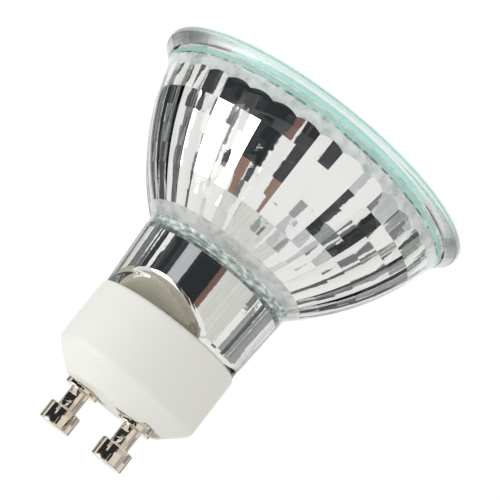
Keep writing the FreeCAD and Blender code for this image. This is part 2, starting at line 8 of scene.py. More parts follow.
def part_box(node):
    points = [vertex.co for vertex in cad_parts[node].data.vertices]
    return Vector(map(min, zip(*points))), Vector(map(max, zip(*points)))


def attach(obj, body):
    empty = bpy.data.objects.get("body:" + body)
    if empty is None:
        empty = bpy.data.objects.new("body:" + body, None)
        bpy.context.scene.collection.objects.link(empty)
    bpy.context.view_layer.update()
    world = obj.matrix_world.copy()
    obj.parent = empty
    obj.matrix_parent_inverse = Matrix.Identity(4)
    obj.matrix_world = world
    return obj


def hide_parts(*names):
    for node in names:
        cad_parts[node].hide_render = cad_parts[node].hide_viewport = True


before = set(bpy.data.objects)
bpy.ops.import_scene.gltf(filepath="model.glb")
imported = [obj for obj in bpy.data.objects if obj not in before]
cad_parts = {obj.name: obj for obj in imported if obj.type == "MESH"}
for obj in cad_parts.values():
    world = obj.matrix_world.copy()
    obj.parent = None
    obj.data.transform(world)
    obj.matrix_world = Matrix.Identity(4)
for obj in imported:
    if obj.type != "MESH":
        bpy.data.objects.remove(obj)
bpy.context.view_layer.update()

MM = 0.001

bl_info = {
    "name": "Mirrored Reflector Lamp",
    "version": (1, 0, 0),
    "blender": (4, 5, 0),
    "location": "View3D > Sidebar > Lamp",
    "description": "Builds a faceted mirror lamp with a twist-lock base and the white studio around it",
    "category": "Object",
}


def linear(code):
    """Turns an sRGB hex colour into linear red, green and blue."""
    channels = [int(code[place:place + 2], 16) / 255 for place in (1, 3, 5)]
    return tuple(c / 12.92 if c <= 0.04045 else ((c + 0.055) / 1.055) ** 2.4 for c in channels)


def length(name, millimetres, description):
    """A size in the sidebar, kept in metres."""
    return bpy.props.FloatProperty(
        name=name, description=description, default=millimetres * MM, precision=5, unit="LENGTH")


def angle(name, degrees, description):
    """An angle in the sidebar."""
    return bpy.props.FloatProperty(
        name=name, description=description, default=math.radians(degrees), precision=3, unit="ROTATION")


def amount(name, value, description):
    """A plain number in the sidebar."""
    return bpy.props.FloatProperty(name=name, description=description, default=value, precision=4)


def number(name, value, description):
    """A count in the sidebar."""
    return bpy.props.IntProperty(name=name, description=description, default=value, min=1)


def colour(name, code, description):
    """A colour in the sidebar, from its hex value."""
    return bpy.props.FloatVectorProperty(
        name=name, description=description, default=linear(code), subtype="COLOR", min=0.0, max=1.0)


def top_of(node):
    """Highest point of a solid, in millimetres."""
    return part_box(node)[1].z / MM


def foot_of(node):
    """Lowest point of a solid, in millimetres."""
    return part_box(node)[0].z / MM


def reach_of(node):
    """Widest radius of a solid about the lamp's axis, in millimetres."""
    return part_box(node)[1].x / MM


class ReflectorSizes(bpy.types.PropertyGroup):
    """Sizes of the pressed glass reflector."""
    rim_radius: length("Rim radius", reach_of("reflector"), "Outside of the glass rim")
    rim_edge: length("Rim edge", 0.8, "Straight edge of the rim")
    rim_height: length("Rim height", 2.7, "Front plane to the end of the rim's sloped back")
    rim_overhang: length("Rim overhang", 1.89, "How far the rim stands out from the bowl")
    seat_radius: length("Seat radius", 23.4, "Seat of the front glass")
    seat_height: length("Seat height", top_of("rim_sealant"), "Depth of the seat of the front glass")
    mouth_radius: length("Mouth radius", 21.3, "Smooth land between the seat and the mirror")
    bowl_curve: length("Bowl curve", 38.6, "Radius of the bowl's outside arc")
    bowl_wall: length("Bowl wall", 1.6, "Glass between the bowl's arc and the facet corners")
    columns: number("Facet columns", 36, "Mirror facets around the bowl")
    rows: number("Facet rows", 7, "Mirror facets from the mouth to the throat")
    first_row: length("First row", 6.66, "Front plane to the end of the first row of facets")
    row_angle: angle("Row angle", 3.95, "Arc taken by one row of facets")
    facet_crown: length("Facet crown", 0.05, "How far a facet swells towards the lamp's axis")
    throat_length: length("Throat length", 1.6, "Smooth cone between the facets and the neck")
    neck_top_radius: length("Neck top radius", 11.68, "Neck where it leaves the bowl")
    neck_top: length("Neck top", 21.95, "Front plane to the start of the neck")
    neck_end_radius: length("Neck end radius", 10.9, "Neck where it meets the base")
    neck_end: length("Neck end", top_of("reflector"), "Front plane to the end of the neck")
    neck_wall: length("Neck wall", 2.2, "Glass of the neck")
    flat_depth: length("Flat depth", 3.3, "How deep the slanted flats cut at the neck's end")
    flat_height: length("Flat height", 2.75, "Axial height of the slanted flats")


class FrontSizes(bpy.types.PropertyGroup):
    """Sizes of the front glass and its bead."""
    radius: length("Disc radius", reach_of("front_glass"), "Outside of the front glass")
    front: length("Disc front", foot_of("front_glass"), "Front plane to the front glass")
    back: length("Disc back", top_of("front_glass"), "Front plane to the back of the front glass")
    bevel: length("Ground edge", 0.15, "Bevel of the ground edges")
    bead_inner: length("Bead inside", 20.9, "Inside of the sealant bead")
    bead_outer: length("Bead outside", reach_of("rim_sealant"), "Outside of the sealant bead")
    bead_press: length("Bead press", 0.02, "How far the bead wets the seat")
    bead_wander: length("Bead wander", 0.25, "How far the bead's edges wander")


class BaseSizes(bpy.types.PropertyGroup):
    """Sizes of the ceramic base, its cement and its pins."""
    radius: length("Base radius", reach_of("ceramic_base"), "Outside of the ceramic")
    bottom: length("Base start", foot_of("ceramic_base"), "Front plane to the start of the ceramic")
    top: length("Base end", top_of("ceramic_base"), "Front plane to the end of the ceramic")
    bevel_height: length("Cone height", 3.4, "Cone at the pin end")
    end_radius: length("End radius", 7.45, "Flat end of the ceramic")
    edge_round: length("Edge round", 0.75, "Softened edges of the ceramic")
    bore_radius: length("Hollow radius", 8.2, "Hollow of the ceramic")
    end_wall: length("End wall", 3.2, "Ceramic that carries the pins")
    seat_half: length("Seat half width", 2.82, "Half width of the seat of a pin flange")
    pin_offset: length("Pin offset", 5.0, "Pin axis from the lamp's axis")
    pin_sink: length("Pin sink", 0.7, "How deep a flange sits in the ceramic")
    flange_radius: length("Flange radius", 2.62, "Flange of a pin")
    flange_height: length("Flange height", 1.4, "Flange along the pin")
    shaft_radius: length("Shaft radius", 1.45, "Slim part of a pin")
    foot_start: length("Foot start", 49.75, "Front plane to the underside of a foot")
    foot_radius: length("Foot radius", 2.48, "Wide foot of a pin")
    pin_end: length("Pin end", top_of("contact_pin_left"), "Front plane to the face of a foot")
    pin_tail_radius: length("Tail radius", 1.2, "Part of the pin inside the ceramic")
    pin_head_radius: length("Head radius", 1.75, "Swaged head inside the base")
    pin_head_height: length("Head height", 0.6, "Swaged head along the pin")
    crimp_margin: length("Crimp margin", 0.1, "Plain shaft at each end of the crimp")
    crimp_depth: length("Crimp depth", 0.2, "Dent of the crimp")


class CapsuleSizes(bpy.types.PropertyGroup):
    """Sizes of the quartz capsule and its coil."""
    bulb_radius: length("Bulb radius", 4.7, "Outside of the quartz bulb")
    bulb_wall: length("Bulb wall", 0.9, "Quartz wall")
    tip: length("Tip", foot_of("capsule_glass"), "Front plane to the sealed-off tip")
    tip_radius: length("Tip radius", 1.0, "Root of the sealed-off tip")
    dome: length("Dome", 12.1, "Front plane to the start of the bulb's straight part")
    shoulder: length("Shoulder", 23.1, "Front plane to the end of the bulb's straight part")
    pinch_start: length("Pinch start", 26.4, "Where the bulb has become the flat pinch")
    pinch_end: length("Pinch end", top_of("capsule_glass"), "Front plane to the end of the pinch")
    pinch_width: length("Pinch width", 8.6, "Flat pinch across the wires")
    pinch_thickness: length("Pinch thickness", 3.0, "Flat pinch through")
    coil_offset: length("Coil offset", 1.6, "Legs of the coil from the axis")
    coil_end: length("Coil end", top_of("filament"), "Front plane to the ends of the coil's legs")
    coil_bend: length("Coil bend", 13.1, "Front plane to the start of the coil's bend")
    coil_radius: length("Coil radius", 0.38, "Centre line of the coiled wire from the coil's axis")
    coil_wire: length("Coil wire", 0.07, "Radius of the coiled wire")
    coil_pitch: length("Coil pitch", 0.24, "From turn to turn of the coil")


class LampColours(bpy.types.PropertyGroup):
    """Colours of the lamp's materials."""
    glass: colour("Reflector glass", "#FFFFFF", "Clear pressed glass")
    # The haze colour is also given off as a painted glow.
    haze: colour("Haze", "#F4F4F3", "Stray coating on clear glass")
    # The seam colour is also given off as a painted glow.
    seam: colour("Seam", "#67716D", "Chilled glass at the top of the neck")
    mirror: colour("Mirror", "#F1F0ED", "Vacuum coated aluminium")
    front: colour("Front glass", "#F4FBF8", "Clear float glass seen square on")
    # The edge colour is also given off as a painted glow by the ground edge and by the sealant.
    edge: colour("Ground edge", "#A8E8DC", "Ground edge of float glass")
    sealant: colour("Sealant", "#CFEEE6", "Cured silicone against the green glass")
    ceramic: colour("Ceramic", "#EEEEE7", "Fired steatite")
    stain: colour("Stain", "#EBD9BE", "Flux stain on the ceramic")
    cement: colour("Cement", "#E6E1CE", "Cast cement")
    quartz: colour("Quartz", "#FAFBFC", "Fused quartz")
    tungsten: colour("Tungsten", "#8A8784", "Drawn tungsten")
    molybdenum: colour("Molybdenum", "#B4B0AB", "Drawn and rolled molybdenum")
    nickel: colour("Nickel", "#D6CBBB", "Nickel plate")


class StageSettings(bpy.types.PropertyGroup):
    """Camera, light and floor."""
    azimuth: angle("Azimuth", -30.52, "Camera about the lamp's axis")
    elevation: angle("Elevation", 12.24, "Camera above the front plane")
    roll: angle("Roll", -141.80, "Camera about its own line of sight")
    distance: length("Distance", 247.66, "Camera from its target")
    target_height: length("Target height", 27.0, "Height on the lamp's axis that the framing starts from")
    frame_right: length("Frame right", 7.554, "Target moved to the right in the frame")
    frame_up: length("Frame up", 6.513, "Target moved up in the frame")
    lens: amount("Lens", 129.58, "Focal length in millimetres on a 36 mm sensor")
    key_power: amount("Key power", 0.5, "Watts of the large lamp")
    key_azimuth: angle("Key azimuth", 71.5, "Large lamp about the lamp's axis, from the camera")
    key_elevation: angle("Key elevation", 34.0, "Large lamp above the front plane")
    key_distance: length("Key distance", 450.0, "Large lamp from the lamp's middle")
    key_width: length("Key width", 220.0, "Width of the large lamp")
    key_height: length("Key height", 220.0, "Height of the large lamp")
    world_level: amount("World level", 0.81, "Light that the white room gives to every surface")
    floor_drop: length("Floor drop", 0.05, "Floor below the front plane")


def add(tree, kind, settings=None, values=None, links=None):
    """Adds a shader node with its settings, values and links; a link starts at a socket or a node's first one."""
    node = tree.nodes.new(f"ShaderNode{kind}")
    for key, value in (settings or {}).items():
        setattr(node, key, value)
    for key, value in (values or {}).items():
        node.inputs[key].default_value = value
    for key, source in (links or {}).items():
        live = [socket for socket in getattr(source, "outputs", [source]) if socket.enabled]
        tree.links.new(live[0], node.inputs[key])
    return node


def new_material(name):
    """Starts a node material and gives it with its tree and the coordinates of its piece."""
    material = bpy.data.materials.new(name)
    material.use_nodes = True
    tree = material.node_tree
    tree.nodes.clear()
    return material, tree, add(tree, "TexCoord").outputs["Object"]


def finish_material(material, shader, volume=None):
    """Links the shader, and a volume if there is one, to the output."""
    links = {"Surface": shader}
    if volume:
        links["Volume"] = volume
    add(material.node_tree, "OutputMaterial", links=links)
    return material


def rgba(value):
    """A colour with full alpha."""
    return (*value, 1.0)


def per_mm(size):
    """Texture scale at which one feature is this many millimetres, with coordinates in metres."""
    return 1.0 / (size * MM)


def pressed_glass(colours):
    """Pressed clear glass: bright, with the waviness that a mould leaves and a rim left slightly matt."""
    material, tree, spot = new_material("pressed_clear_glass")
    waves = add(tree, "TexNoise", values={"Scale": per_mm(7.0), "Detail": 1.0}, links={"Vector": spot})
    bump = add(tree, "Bump", values={"Strength": 0.06, "Distance": 0.2 * MM}, links={"Height": waves})
    height = add(tree, "SeparateXYZ", links={"Vector": spot})
    matt = add(tree, "MapRange",
               values={"From Min": 0.7 * MM, "From Max": 1.3 * MM, "To Min": 0.22, "To Max": 0.0},
               links={"Value": height.outputs["Z"]})
    shader = add(tree, "BsdfPrincipled",
                 values={"Base Color": rgba(colours.glass), "IOR": 1.47, "Transmission Weight": 1.0},
                 links={"Normal": bump, "Roughness": matt})
    tint = add(tree, "VolumeAbsorption", values={"Color": rgba(linear("#95A29E")), "Density": 40.0})
    return finish_material(material, shader, tint)


def hazed_glass_with_glow(colours):
    """Glass under a haze of stray coating: pale grey and cloudy, with a broken dark line at the bead's end; its
    colour also gives off a painted glow.
    """
    material, tree, spot = new_material("hazed_glass_painted_glow")
    grain = add(tree, "TexNoise", values={"Scale": per_mm(1.6), "Detail": 6.0, "Roughness": 0.6},
                links={"Vector": spot})
    cloud = add(tree, "MapRange", values={"From Min": 0.36, "From Max": 0.62}, links={"Value": grain})
    tone = add(tree, "Mix", {"data_type": "RGBA"},
               {"A": rgba(linear("#C6C9C4")), "B": rgba(colours.haze)}, {"Factor": cloud})
    height = add(tree, "SeparateXYZ", links={"Vector": spot})
    line = add(tree, "MapRange", values={"From Min": 1.9 * MM, "From Max": 1.5 * MM},
               links={"Value": height.outputs["Z"]})
    breaks = add(tree, "TexNoise", values={"Scale": per_mm(1.2), "Detail": 3.0}, links={"Vector": spot})
    gaps = add(tree, "MapRange", values={"From Min": 0.4, "From Max": 0.58}, links={"Value": breaks})
    dirt = add(tree, "Math", {"operation": "MULTIPLY"}, links={0: line, 1: gaps})
    soiled_and_glowing = add(tree, "Mix", {"data_type": "RGBA"}, {"B": rgba(linear("#57534F"))},
                 {"A": tone, "Factor": dirt})
    # Painted glow: the haze's colour, dark line and all, is given off as light.
    shader = add(tree, "BsdfPrincipled", values={"Roughness": 0.4, "IOR": 1.47, "Emission Strength": 0.34},
                 links={"Base Color": soiled_and_glowing, "Emission Color": soiled_and_glowing})
    return finish_material(material, shader)


def flecked_glass_with_glow(colours):
    """Glass chilled where the mould closed: grey-green and rippled, with paler flecks; band and flecks are made
    bright by a painted glow of their own colour.
    """
    material, tree, spot = new_material("mould_chilled_glass_painted_glow")
    stretch = add(tree, "Mapping", values={"Scale": (1.0, 1.0, 2.5)}, links={"Vector": spot})
    flecks = add(tree, "TexNoise", values={"Scale": per_mm(1.1), "Detail": 4.0}, links={"Vector": stretch})
    spots = add(tree, "MapRange", values={"From Min": 0.38, "From Max": 0.74}, links={"Value": flecks})
    tone = add(tree, "Mix", {"data_type": "RGBA"},
               {"A": rgba(colours.seam), "B": rgba(linear("#C4CAC7"))}, {"Factor": spots})
    bump = add(tree, "Bump", values={"Strength": 0.4, "Distance": 0.1 * MM}, links={"Height": flecks})
    # Painted glow: the seam's colour and its flecks are given off as light.
    shader = add(tree, "BsdfPrincipled", values={"Roughness": 0.2, "IOR": 1.47, "Emission Strength": 0.6},
                 links={"Base Color": tone, "Normal": bump, "Emission Color": tone})
    return finish_material(material, shader)


def mirror_coat(colours):
    """Aluminium laid down in a vacuum behind the glass: a sharp mirror, with faint mottling from the mould."""
    material, tree, spot = new_material("vacuum_coated_aluminium")
    mottle = add(tree, "TexNoise", values={"Scale": per_mm(0.9), "Detail": 3.0}, links={"Vector": spot})
    haze = add(tree, "MapRange", values={"From Min": 0.35, "From Max": 0.75, "To Max": 0.045},
               links={"Value": mottle})
    bump = add(tree, "Bump", values={"Strength": 0.05, "Distance": 0.1 * MM}, links={"Height": mottle})
    shader = add(tree, "BsdfPrincipled", values={"Base Color": rgba(colours.mirror), "Metallic": 1.0},
                 links={"Roughness": haze, "Normal": bump})
    return finish_material(material, shader)


def float_glass(colours):
    """Float glass: clear square on and blue-green over a long path."""
    material, tree, spot = new_material("clear_float_glass")
    dust = add(tree, "TexNoise", values={"Scale": per_mm(1.5), "Detail": 4.0}, links={"Vector": spot})
    haze = add(tree, "MapRange", values={"From Min": 0.55, "From Max": 0.8, "To Max": 0.04},
               links={"Value": dust})
    shader = add(tree, "BsdfPrincipled",
                 values={"Base Color": rgba(colours.front), "IOR": 1.52, "Transmission Weight": 1.0},
                 links={"Roughness": haze})
    tint = add(tree, "VolumeAbsorption", values={"Color": rgba(linear("#52FADC")), "Density": 10.0})
    return finish_material(material, shader, tint)


def ground_edge(colours):
    """Ground edge of float glass: satin and blue-green, with a painted glow that stands in for the light that
    runs inside the sheet.
    """
    material, tree, spot = new_material("ground_glass_edge_painted_glow")
    grit = add(tree, "TexNoise", values={"Scale": per_mm(0.5), "Detail": 4.0}, links={"Vector": spot})
    tone = add(tree, "Mix", {"data_type": "RGBA"},
               {"A": rgba(colours.edge), "B": rgba(linear("#DDF6EE"))}, {"Factor": grit})
    bump = add(tree, "Bump", values={"Strength": 0.2, "Distance": 0.02 * MM}, links={"Height": grit})
    # Painted glow: the edge colour is given off as light.
    shader = add(tree, "BsdfPrincipled",
                 values={"Roughness": 0.35, "Emission Color": rgba(colours.edge), "Emission Strength": 0.42},
                 links={"Base Color": tone, "Normal": bump})
    return finish_material(material, shader)


def silicone(colours):
    """Cured silicone: pale, satin and slightly lumpy, with a painted blue-green glow in the edge colour."""
    material, tree, spot = new_material("cured_silicone_painted_glow")
    lumps = add(tree, "TexNoise", values={"Scale": per_mm(0.6), "Detail": 3.0}, links={"Vector": spot})
    tone = add(tree, "Mix", {"data_type": "RGBA"},
               {"A": rgba(linear("#AFC4BC")), "B": rgba(colours.sealant)}, {"Factor": lumps})
    bump = add(tree, "Bump", values={"Strength": 0.5, "Distance": 0.1 * MM}, links={"Height": lumps})
    # Painted glow: the ground edge's colour is given off as light.
    shader = add(tree, "BsdfPrincipled",
                 values={"Roughness": 0.4, "IOR": 1.41, "Emission Color": rgba(colours.edge),
                         "Emission Strength": 0.36},
                 links={"Base Color": tone, "Normal": bump})
    return finish_material(material, shader)


def steatite(colours):
    """Pressed and fired steatite: white and satin, with a fine grain, faint stains and rubbed patches."""
    material, tree, spot = new_material("fired_steatite")
    grain = add(tree, "TexNoise", values={"Scale": per_mm(0.35), "Detail": 5.0, "Roughness": 0.6},
                links={"Vector": spot})
    cloud = add(tree, "TexNoise", values={"Scale": per_mm(9.0), "Detail": 3.0}, links={"Vector": spot})
    patch = add(tree, "MapRange", values={"From Min": 0.6, "From Max": 0.8, "To Max": 0.35},
                links={"Value": cloud})
    tone = add(tree, "Mix", {"data_type": "RGBA"},
               {"A": rgba(colours.ceramic), "B": rgba(colours.stain)}, {"Factor": patch})
    sheen = add(tree, "MapRange", values={"From Min": 0.3, "From Max": 0.7, "To Min": 0.38, "To Max": 0.55},
                links={"Value": cloud})
    bump = add(tree, "Bump", values={"Strength": 0.12, "Distance": 0.05 * MM}, links={"Height": grain})
    shader = add(tree, "BsdfPrincipled",
                 values={"IOR": 1.55, "Subsurface Weight": 0.15, "Subsurface Scale": 0.6 * MM},
                 links={"Base Color": tone, "Roughness": sheen, "Normal": bump})
    return finish_material(material, shader)


def cast_cement(colours, name="cast_cement", glow=0.0):
    """Cast cement: warm, matt and pitted; behind glass it also gets a painted glow that stands in for the light
    that the wall lets in.
    """
    material, tree, spot = new_material(name)
    sand = add(tree, "TexNoise", values={"Scale": per_mm(0.5), "Detail": 6.0}, links={"Vector": spot})
    tone = add(tree, "Mix", {"data_type": "RGBA"},
               {"A": rgba(linear("#D2CBB9")), "B": rgba(colours.cement)}, {"Factor": sand})
    bump = add(tree, "Bump", values={"Strength": 0.5, "Distance": 0.2 * MM}, links={"Height": sand})
    # Painted glow wherever glow is not zero.
    shader = add(tree, "BsdfPrincipled",
                 values={"Roughness": 0.85, "Emission Color": rgba(colours.cement), "Emission Strength": glow},
                 links={"Base Color": tone, "Normal": bump})
    return finish_material(material, shader)


def fused_quartz(colours):
    """Fused quartz: water clear, with the faint draw lines of its tube."""
    material, tree, spot = new_material("fused_quartz")
    stretch = add(tree, "Mapping", values={"Scale": (1.0, 1.0, 0.1)}, links={"Vector": spot})
    lines = add(tree, "TexNoise", values={"Scale": per_mm(1.2), "Detail": 2.0}, links={"Vector": stretch})
    bump = add(tree, "Bump", values={"Strength": 0.1, "Distance": 0.05 * MM}, links={"Height": lines})
    shader = add(tree, "BsdfPrincipled",
                 values={"Base Color": rgba(colours.quartz), "Roughness": 0.0, "IOR": 1.46,
                         "Transmission Weight": 1.0}, links={"Normal": bump})
    return finish_material(material, shader)


def drawn_metal(name, tone, rough, streak):
    """Drawn wire or rolled foil: grey metal with fine lines along its length."""
    material, tree, spot = new_material(name)
    stretch = add(tree, "Mapping", values={"Scale": (1.0, 1.0, 0.05)}, links={"Vector": spot})
    lines = add(tree, "TexNoise", values={"Scale": per_mm(streak), "Detail": 3.0}, links={"Vector": stretch})
    spread = add(tree, "MapRange",
                 values={"From Min": 0.3, "From Max": 0.7, "To Min": rough * 0.7, "To Max": rough * 1.4},
                 links={"Value": lines})
    bump = add(tree, "Bump", values={"Strength": 0.15, "Distance": 0.02 * MM}, links={"Height": lines})
    shader = add(tree, "BsdfPrincipled", values={"Base Color": rgba(tone), "Metallic": 1.0},
                 links={"Roughness": spread, "Normal": bump})
    return finish_material(material, shader)


def nickel_plate(colours):
    """Nickel plate on turned brass: warm silver, with fine turning rings and a few handling marks."""
    material, tree, spot = new_material("nickel_plated_brass")
    squeeze = add(tree, "Mapping", values={"Scale": (0.02, 0.02, 1.0)}, links={"Vector": spot})
    rings = add(tree, "TexNoise", values={"Scale": per_mm(0.22), "Detail": 3.0}, links={"Vector": squeeze})
    wear = add(tree, "TexNoise", values={"Scale": per_mm(1.1), "Detail": 5.0, "Roughness": 0.65},
               links={"Vector": spot})
    spread = add(tree, "MapRange", values={"From Min": 0.35, "From Max": 0.7, "To Min": 0.03, "To Max": 0.09},
                 links={"Value": wear})
    bump = add(tree, "Bump", values={"Strength": 0.04, "Distance": 0.03 * MM}, links={"Height": rings})
    shader = add(tree, "BsdfPrincipled", values={"Base Color": rgba(colours.nickel), "Metallic": 1.0},
                 links={"Roughness": spread, "Normal": bump})
    return finish_material(material, shader)


# Segments and rows of the turned and lofted shapes
BOWL_STEPS = 72
FACET_STEPS = 8
EDGE_STEPS = 6
NECK_ROWS = 4
DISC_STEPS = 192
BEAD_STEPS = 360
CERAMIC_STEPS = 160
PIN_STEPS = 72
CRIMP_STEPS = 16
QUARTZ_STEPS = 96
DOME_STEPS = 20
HOLLOW_STEPS = 16
SHOULDER_ROWS = 14
PINCH_ROWS = 6
TURN_STEPS = 12
WIRE_CORNERS = 6
HALVINGS = 40

# Angle past which an edge is a crease, and distances that count as none
CREASE = math.radians(32)
TOUCHING = 1e-8
SLACK = 1e-6


def between(first, last, share):
    """Value or place that lies a share of the way from one to another."""
    return first + (last - first) * share


def arc(centre, radius, start, end, steps):
    """Points of an arc in the half plane of radius and height; angles from the radius axis."""
    turns = [between(start, end, step / steps) for step in range(steps + 1)]
    return [(centre[0] + radius * math.cos(t), centre[1] + radius * math.sin(t)) for t in turns]


def bend(first, corner, last, steps):
    """Points that round a corner from one place to another."""
    shares = [step / steps for step in range(steps + 1)]
    return [tuple(first * (1 - t) ** 2 + corner * (2 * t * (1 - t)) + last * t ** 2) for t in shares]


def walk(points, reach):
    """Goes along points for a distance; gives the place and the points that are left."""
    here = Vector(points[0])
    for index in range(1, len(points)):
        following = Vector(points[index])
        span = (following - here).length
        if span > reach:
            return between(here, following, reach / span), points[index:]
        reach -= span
        here = following
    return here, []


def soften(points, corner, reach, steps=6):
    """Rounds the corner of a line of points that is nearest to a place, over a reach on both sides."""
    index = min(range(len(points)), key=lambda i: (Vector(points[i]) - Vector(corner)).length)
    before, head = walk(points[index::-1], reach)
    after, tail = walk(points[index:], reach)
    return head[::-1] + bend(before, Vector(points[index]), after, steps) + tail


def skin(shape, columns, closed=False, finish=lambda row, index: 0):
    """Joins columns of points, side by side all the way round, with faces; finish picks their materials."""
    verts = [[shape.verts.new(point) for point in column] for column in columns]
    rows = len(columns[0])
    for index, column in enumerate(verts):
        beside = verts[(index + 1) % len(verts)]
        for row in range(rows if closed else rows - 1):
            above = (row + 1) % rows
            face = shape.faces.new((column[row], beside[row], beside[above], column[above]))
            face.material_index = finish(row, index)
    return verts


def stood_up(profile, turn, centre=(0.0, 0.0)):
    """Points of a profile of radius and height in one direction about an upright axis."""
    return [(centre[0] + r * math.cos(turn), centre[1] + r * math.sin(turn), z) for r, z in profile]


def turned(profile, segments, centre=(0.0, 0.0)):
    """Columns of a profile that is turned about an upright axis."""
    return [stood_up(profile, math.tau * step / segments, centre) for step in range(segments)]


def merge(shape):
    """Joins points that fall on one place."""
    bmesh.ops.remove_doubles(shape, verts=shape.verts, dist=TOUCHING)


def smooth(shape, crease=CREASE):
    """Turns normals outwards, smooths the faces and marks the creases."""
    bmesh.ops.recalc_face_normals(shape, faces=shape.faces)
    for face in shape.faces:
        face.smooth = True
    for edge in shape.edges:
        if len(edge.link_faces) == 2 and edge.calc_face_angle(0.0) > crease:
            edge.smooth = False


def settle(shape, crease=CREASE):
    """Closes the poles of a shape and smooths it."""
    merge(shape)
    smooth(shape, crease)


def link_object(name, data):
    """Makes an object of its data and puts it into the scene."""
    item = bpy.data.objects.new(name, data)
    bpy.context.scene.collection.objects.link(item)
    return item


def mesh_of(name, shape, materials=()):
    """Turns a shape into a mesh with its materials."""
    mesh = bpy.data.meshes.new(name)
    shape.to_mesh(mesh)
    shape.free()
    for material in materials:
        mesh.materials.append(material)
    return mesh


def place_piece(name, shape, materials, node):
    """Makes a piece of a shape and puts it in the place of a solid."""
    piece = link_object(name, mesh_of(name, shape, materials))
    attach(piece, "root")
    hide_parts(node)


def carve(shape, cutters):
    """Cuts solids from a solid and gives the result as a new shape."""
    solids = [link_object(f"carving_{index}", mesh_of(f"carving_{index}", solid))
              for index, solid in enumerate([shape, *cutters])]
    body = solids[0]
    for cutter in solids[1:]:
        cut = body.modifiers.new(cutter.name, "BOOLEAN")
        cut.operation = "DIFFERENCE"
        cut.solver = "EXACT"
        cut.object = cutter
    bpy.context.view_layer.update()
    carved = bpy.data.meshes.new_from_object(body.evaluated_get(bpy.context.evaluated_depsgraph_get()))
    result = bmesh.new()
    result.from_mesh(carved)
    for mesh in [carved] + [solid.data for solid in solids]:
        bpy.data.meshes.remove(mesh)
    return result


def dress(node, material):
    """Gives a solid that stays as it is a finished material."""
    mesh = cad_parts[node].data
    mesh.materials.clear()
    mesh.materials.append(material)


def scene_sizes():
    """The lamp's settings in the scene."""
    return bpy.context.scene.reflector_lamp


# Finishes of the reflector, in the order of its materials
GLASS, MIRROR, CEMENT, HAZE_AND_GLOW, SEAM = range(5)
# Rounds of the rim's edges and of the flats' edges, outside and inside
RIM_FRONT_ROUND = 0.25 * MM
RIM_EDGE_ROUND = 0.2 * MM
RIM_BACK_ROUND = 0.45 * MM
FLAT_ROUND = 0.2 * MM
INNER_FLAT_ROUND = 0.5 * MM
# Most that such a round takes of a flat, and the wall above the flats that has rows of its own
FLAT_ROUND_SHARE = 0.3
FLAT_LEAD = 1.6
NECK_LEAD = 6 * MM
# Chilled glass above and below the top of the neck
SEAM_ABOVE = 0.35 * MM
SEAM_BELOW = 1.1 * MM
# Cement shows behind the flats where the sine of the turn passes the first value.
# Below the second value it also climbs the wall, on one side of each flat.
CEMENTED_FROM = 0.42
CLIMBS_BELOW = 0.85


def bowl_line(sizes):
    """Centre of the bowl's arc and the angles of its two ends."""
    top = Vector((sizes.rim_radius - sizes.rim_overhang, sizes.rim_height))
    end = Vector((sizes.neck_top_radius, sizes.neck_top))
    chord = end - top
    rightward = Vector((chord.y, -chord.x)).normalized()
    reach = math.sqrt(sizes.bowl_curve ** 2 - (chord.length / 2) ** 2)
    centre = (top + end) / 2 - rightward * reach
    return centre, [math.atan2(p.y - centre.y, p.x - centre.x) for p in (top, end)]


def outer_line(sizes):
    """Outside of the reflector from the seat's front edge to the end of the neck."""
    centre, (first, last) = bowl_line(sizes)
    rim, top = sizes.rim_radius, sizes.rim_radius - sizes.rim_overhang
    drop = SEAM_BELOW / (sizes.neck_end - sizes.neck_top)
    points = [(sizes.seat_radius, 0.0), (rim, 0.0), (rim, sizes.rim_edge)]
    points += arc(centre, sizes.bowl_curve, first, last, BOWL_STEPS)
    points += [(between(sizes.neck_top_radius, sizes.neck_end_radius, drop), sizes.neck_top + SEAM_BELOW),
               (sizes.neck_end_radius, sizes.neck_end)]
    points = soften(points, (rim, 0.0), RIM_FRONT_ROUND)
    points = soften(points, (rim, sizes.rim_edge), RIM_EDGE_ROUND)
    points = soften(points, (top, sizes.rim_height), RIM_BACK_ROUND, 8)
    return soften(points, (sizes.neck_top_radius, sizes.neck_top), SEAM_ABOVE, 8)


def slanted_end(radius_at, turn, inner, sizes, reach):
    """Rows at the end of the neck in one direction: down the wall, round an edge and across a slanted flat."""
    end = sizes.neck_end
    slope = sizes.flat_depth / sizes.flat_height
    side = abs(math.sin(turn))
    start = end - sizes.flat_height * FLAT_LEAD
    low = end
    if radius_at(end) * side > inner:
        above = start
        for _ in range(HALVINGS):
            middle = (above + low) / 2
            inside = radius_at(middle) * side < inner + (end - middle) * slope
            above, low = (middle, low) if inside else (above, middle)

    def spot_at(z):
        return Vector((radius_at(z) if z <= low else (inner + (end - z) * slope) / side, z))

    round_off = min(reach, (end - low) * FLAT_ROUND_SHARE)
    first, last = low - round_off, low + round_off
    rows = [tuple(spot_at(between(start, first, step / NECK_ROWS))) for step in range(NECK_ROWS)]
    rows += bend(spot_at(first), spot_at(low), spot_at(last), EDGE_STEPS)
    return rows + [tuple(spot_at(between(last, end, step / NECK_ROWS))) for step in range(1, NECK_ROWS + 1)]


def facet_rings(sizes):
    """Corner radius and height of each ring between the rows of facets."""
    centre, _ = bowl_line(sizes)
    facet_arc = sizes.bowl_curve - sizes.bowl_wall
    first = math.asin((sizes.first_row - centre.y) / facet_arc)
    angles = [math.asin((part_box("front_glass")[0].z - centre.y) / facet_arc)]
    angles += [first + row * sizes.row_angle for row in range(sizes.rows)]
    return [(centre.x + facet_arc * math.cos(a), centre.y + facet_arc * math.sin(a)) for a in angles]


def facet_radius(corner, lean, sizes):
    """Radius of a facet in one direction, which lies lean of the way from the facet's middle to its edge."""
    half = math.pi / sizes.columns
    flat = corner * math.cos(half) / math.cos(lean * half)
    return flat - sizes.facet_crown * (1 - lean ** 2)


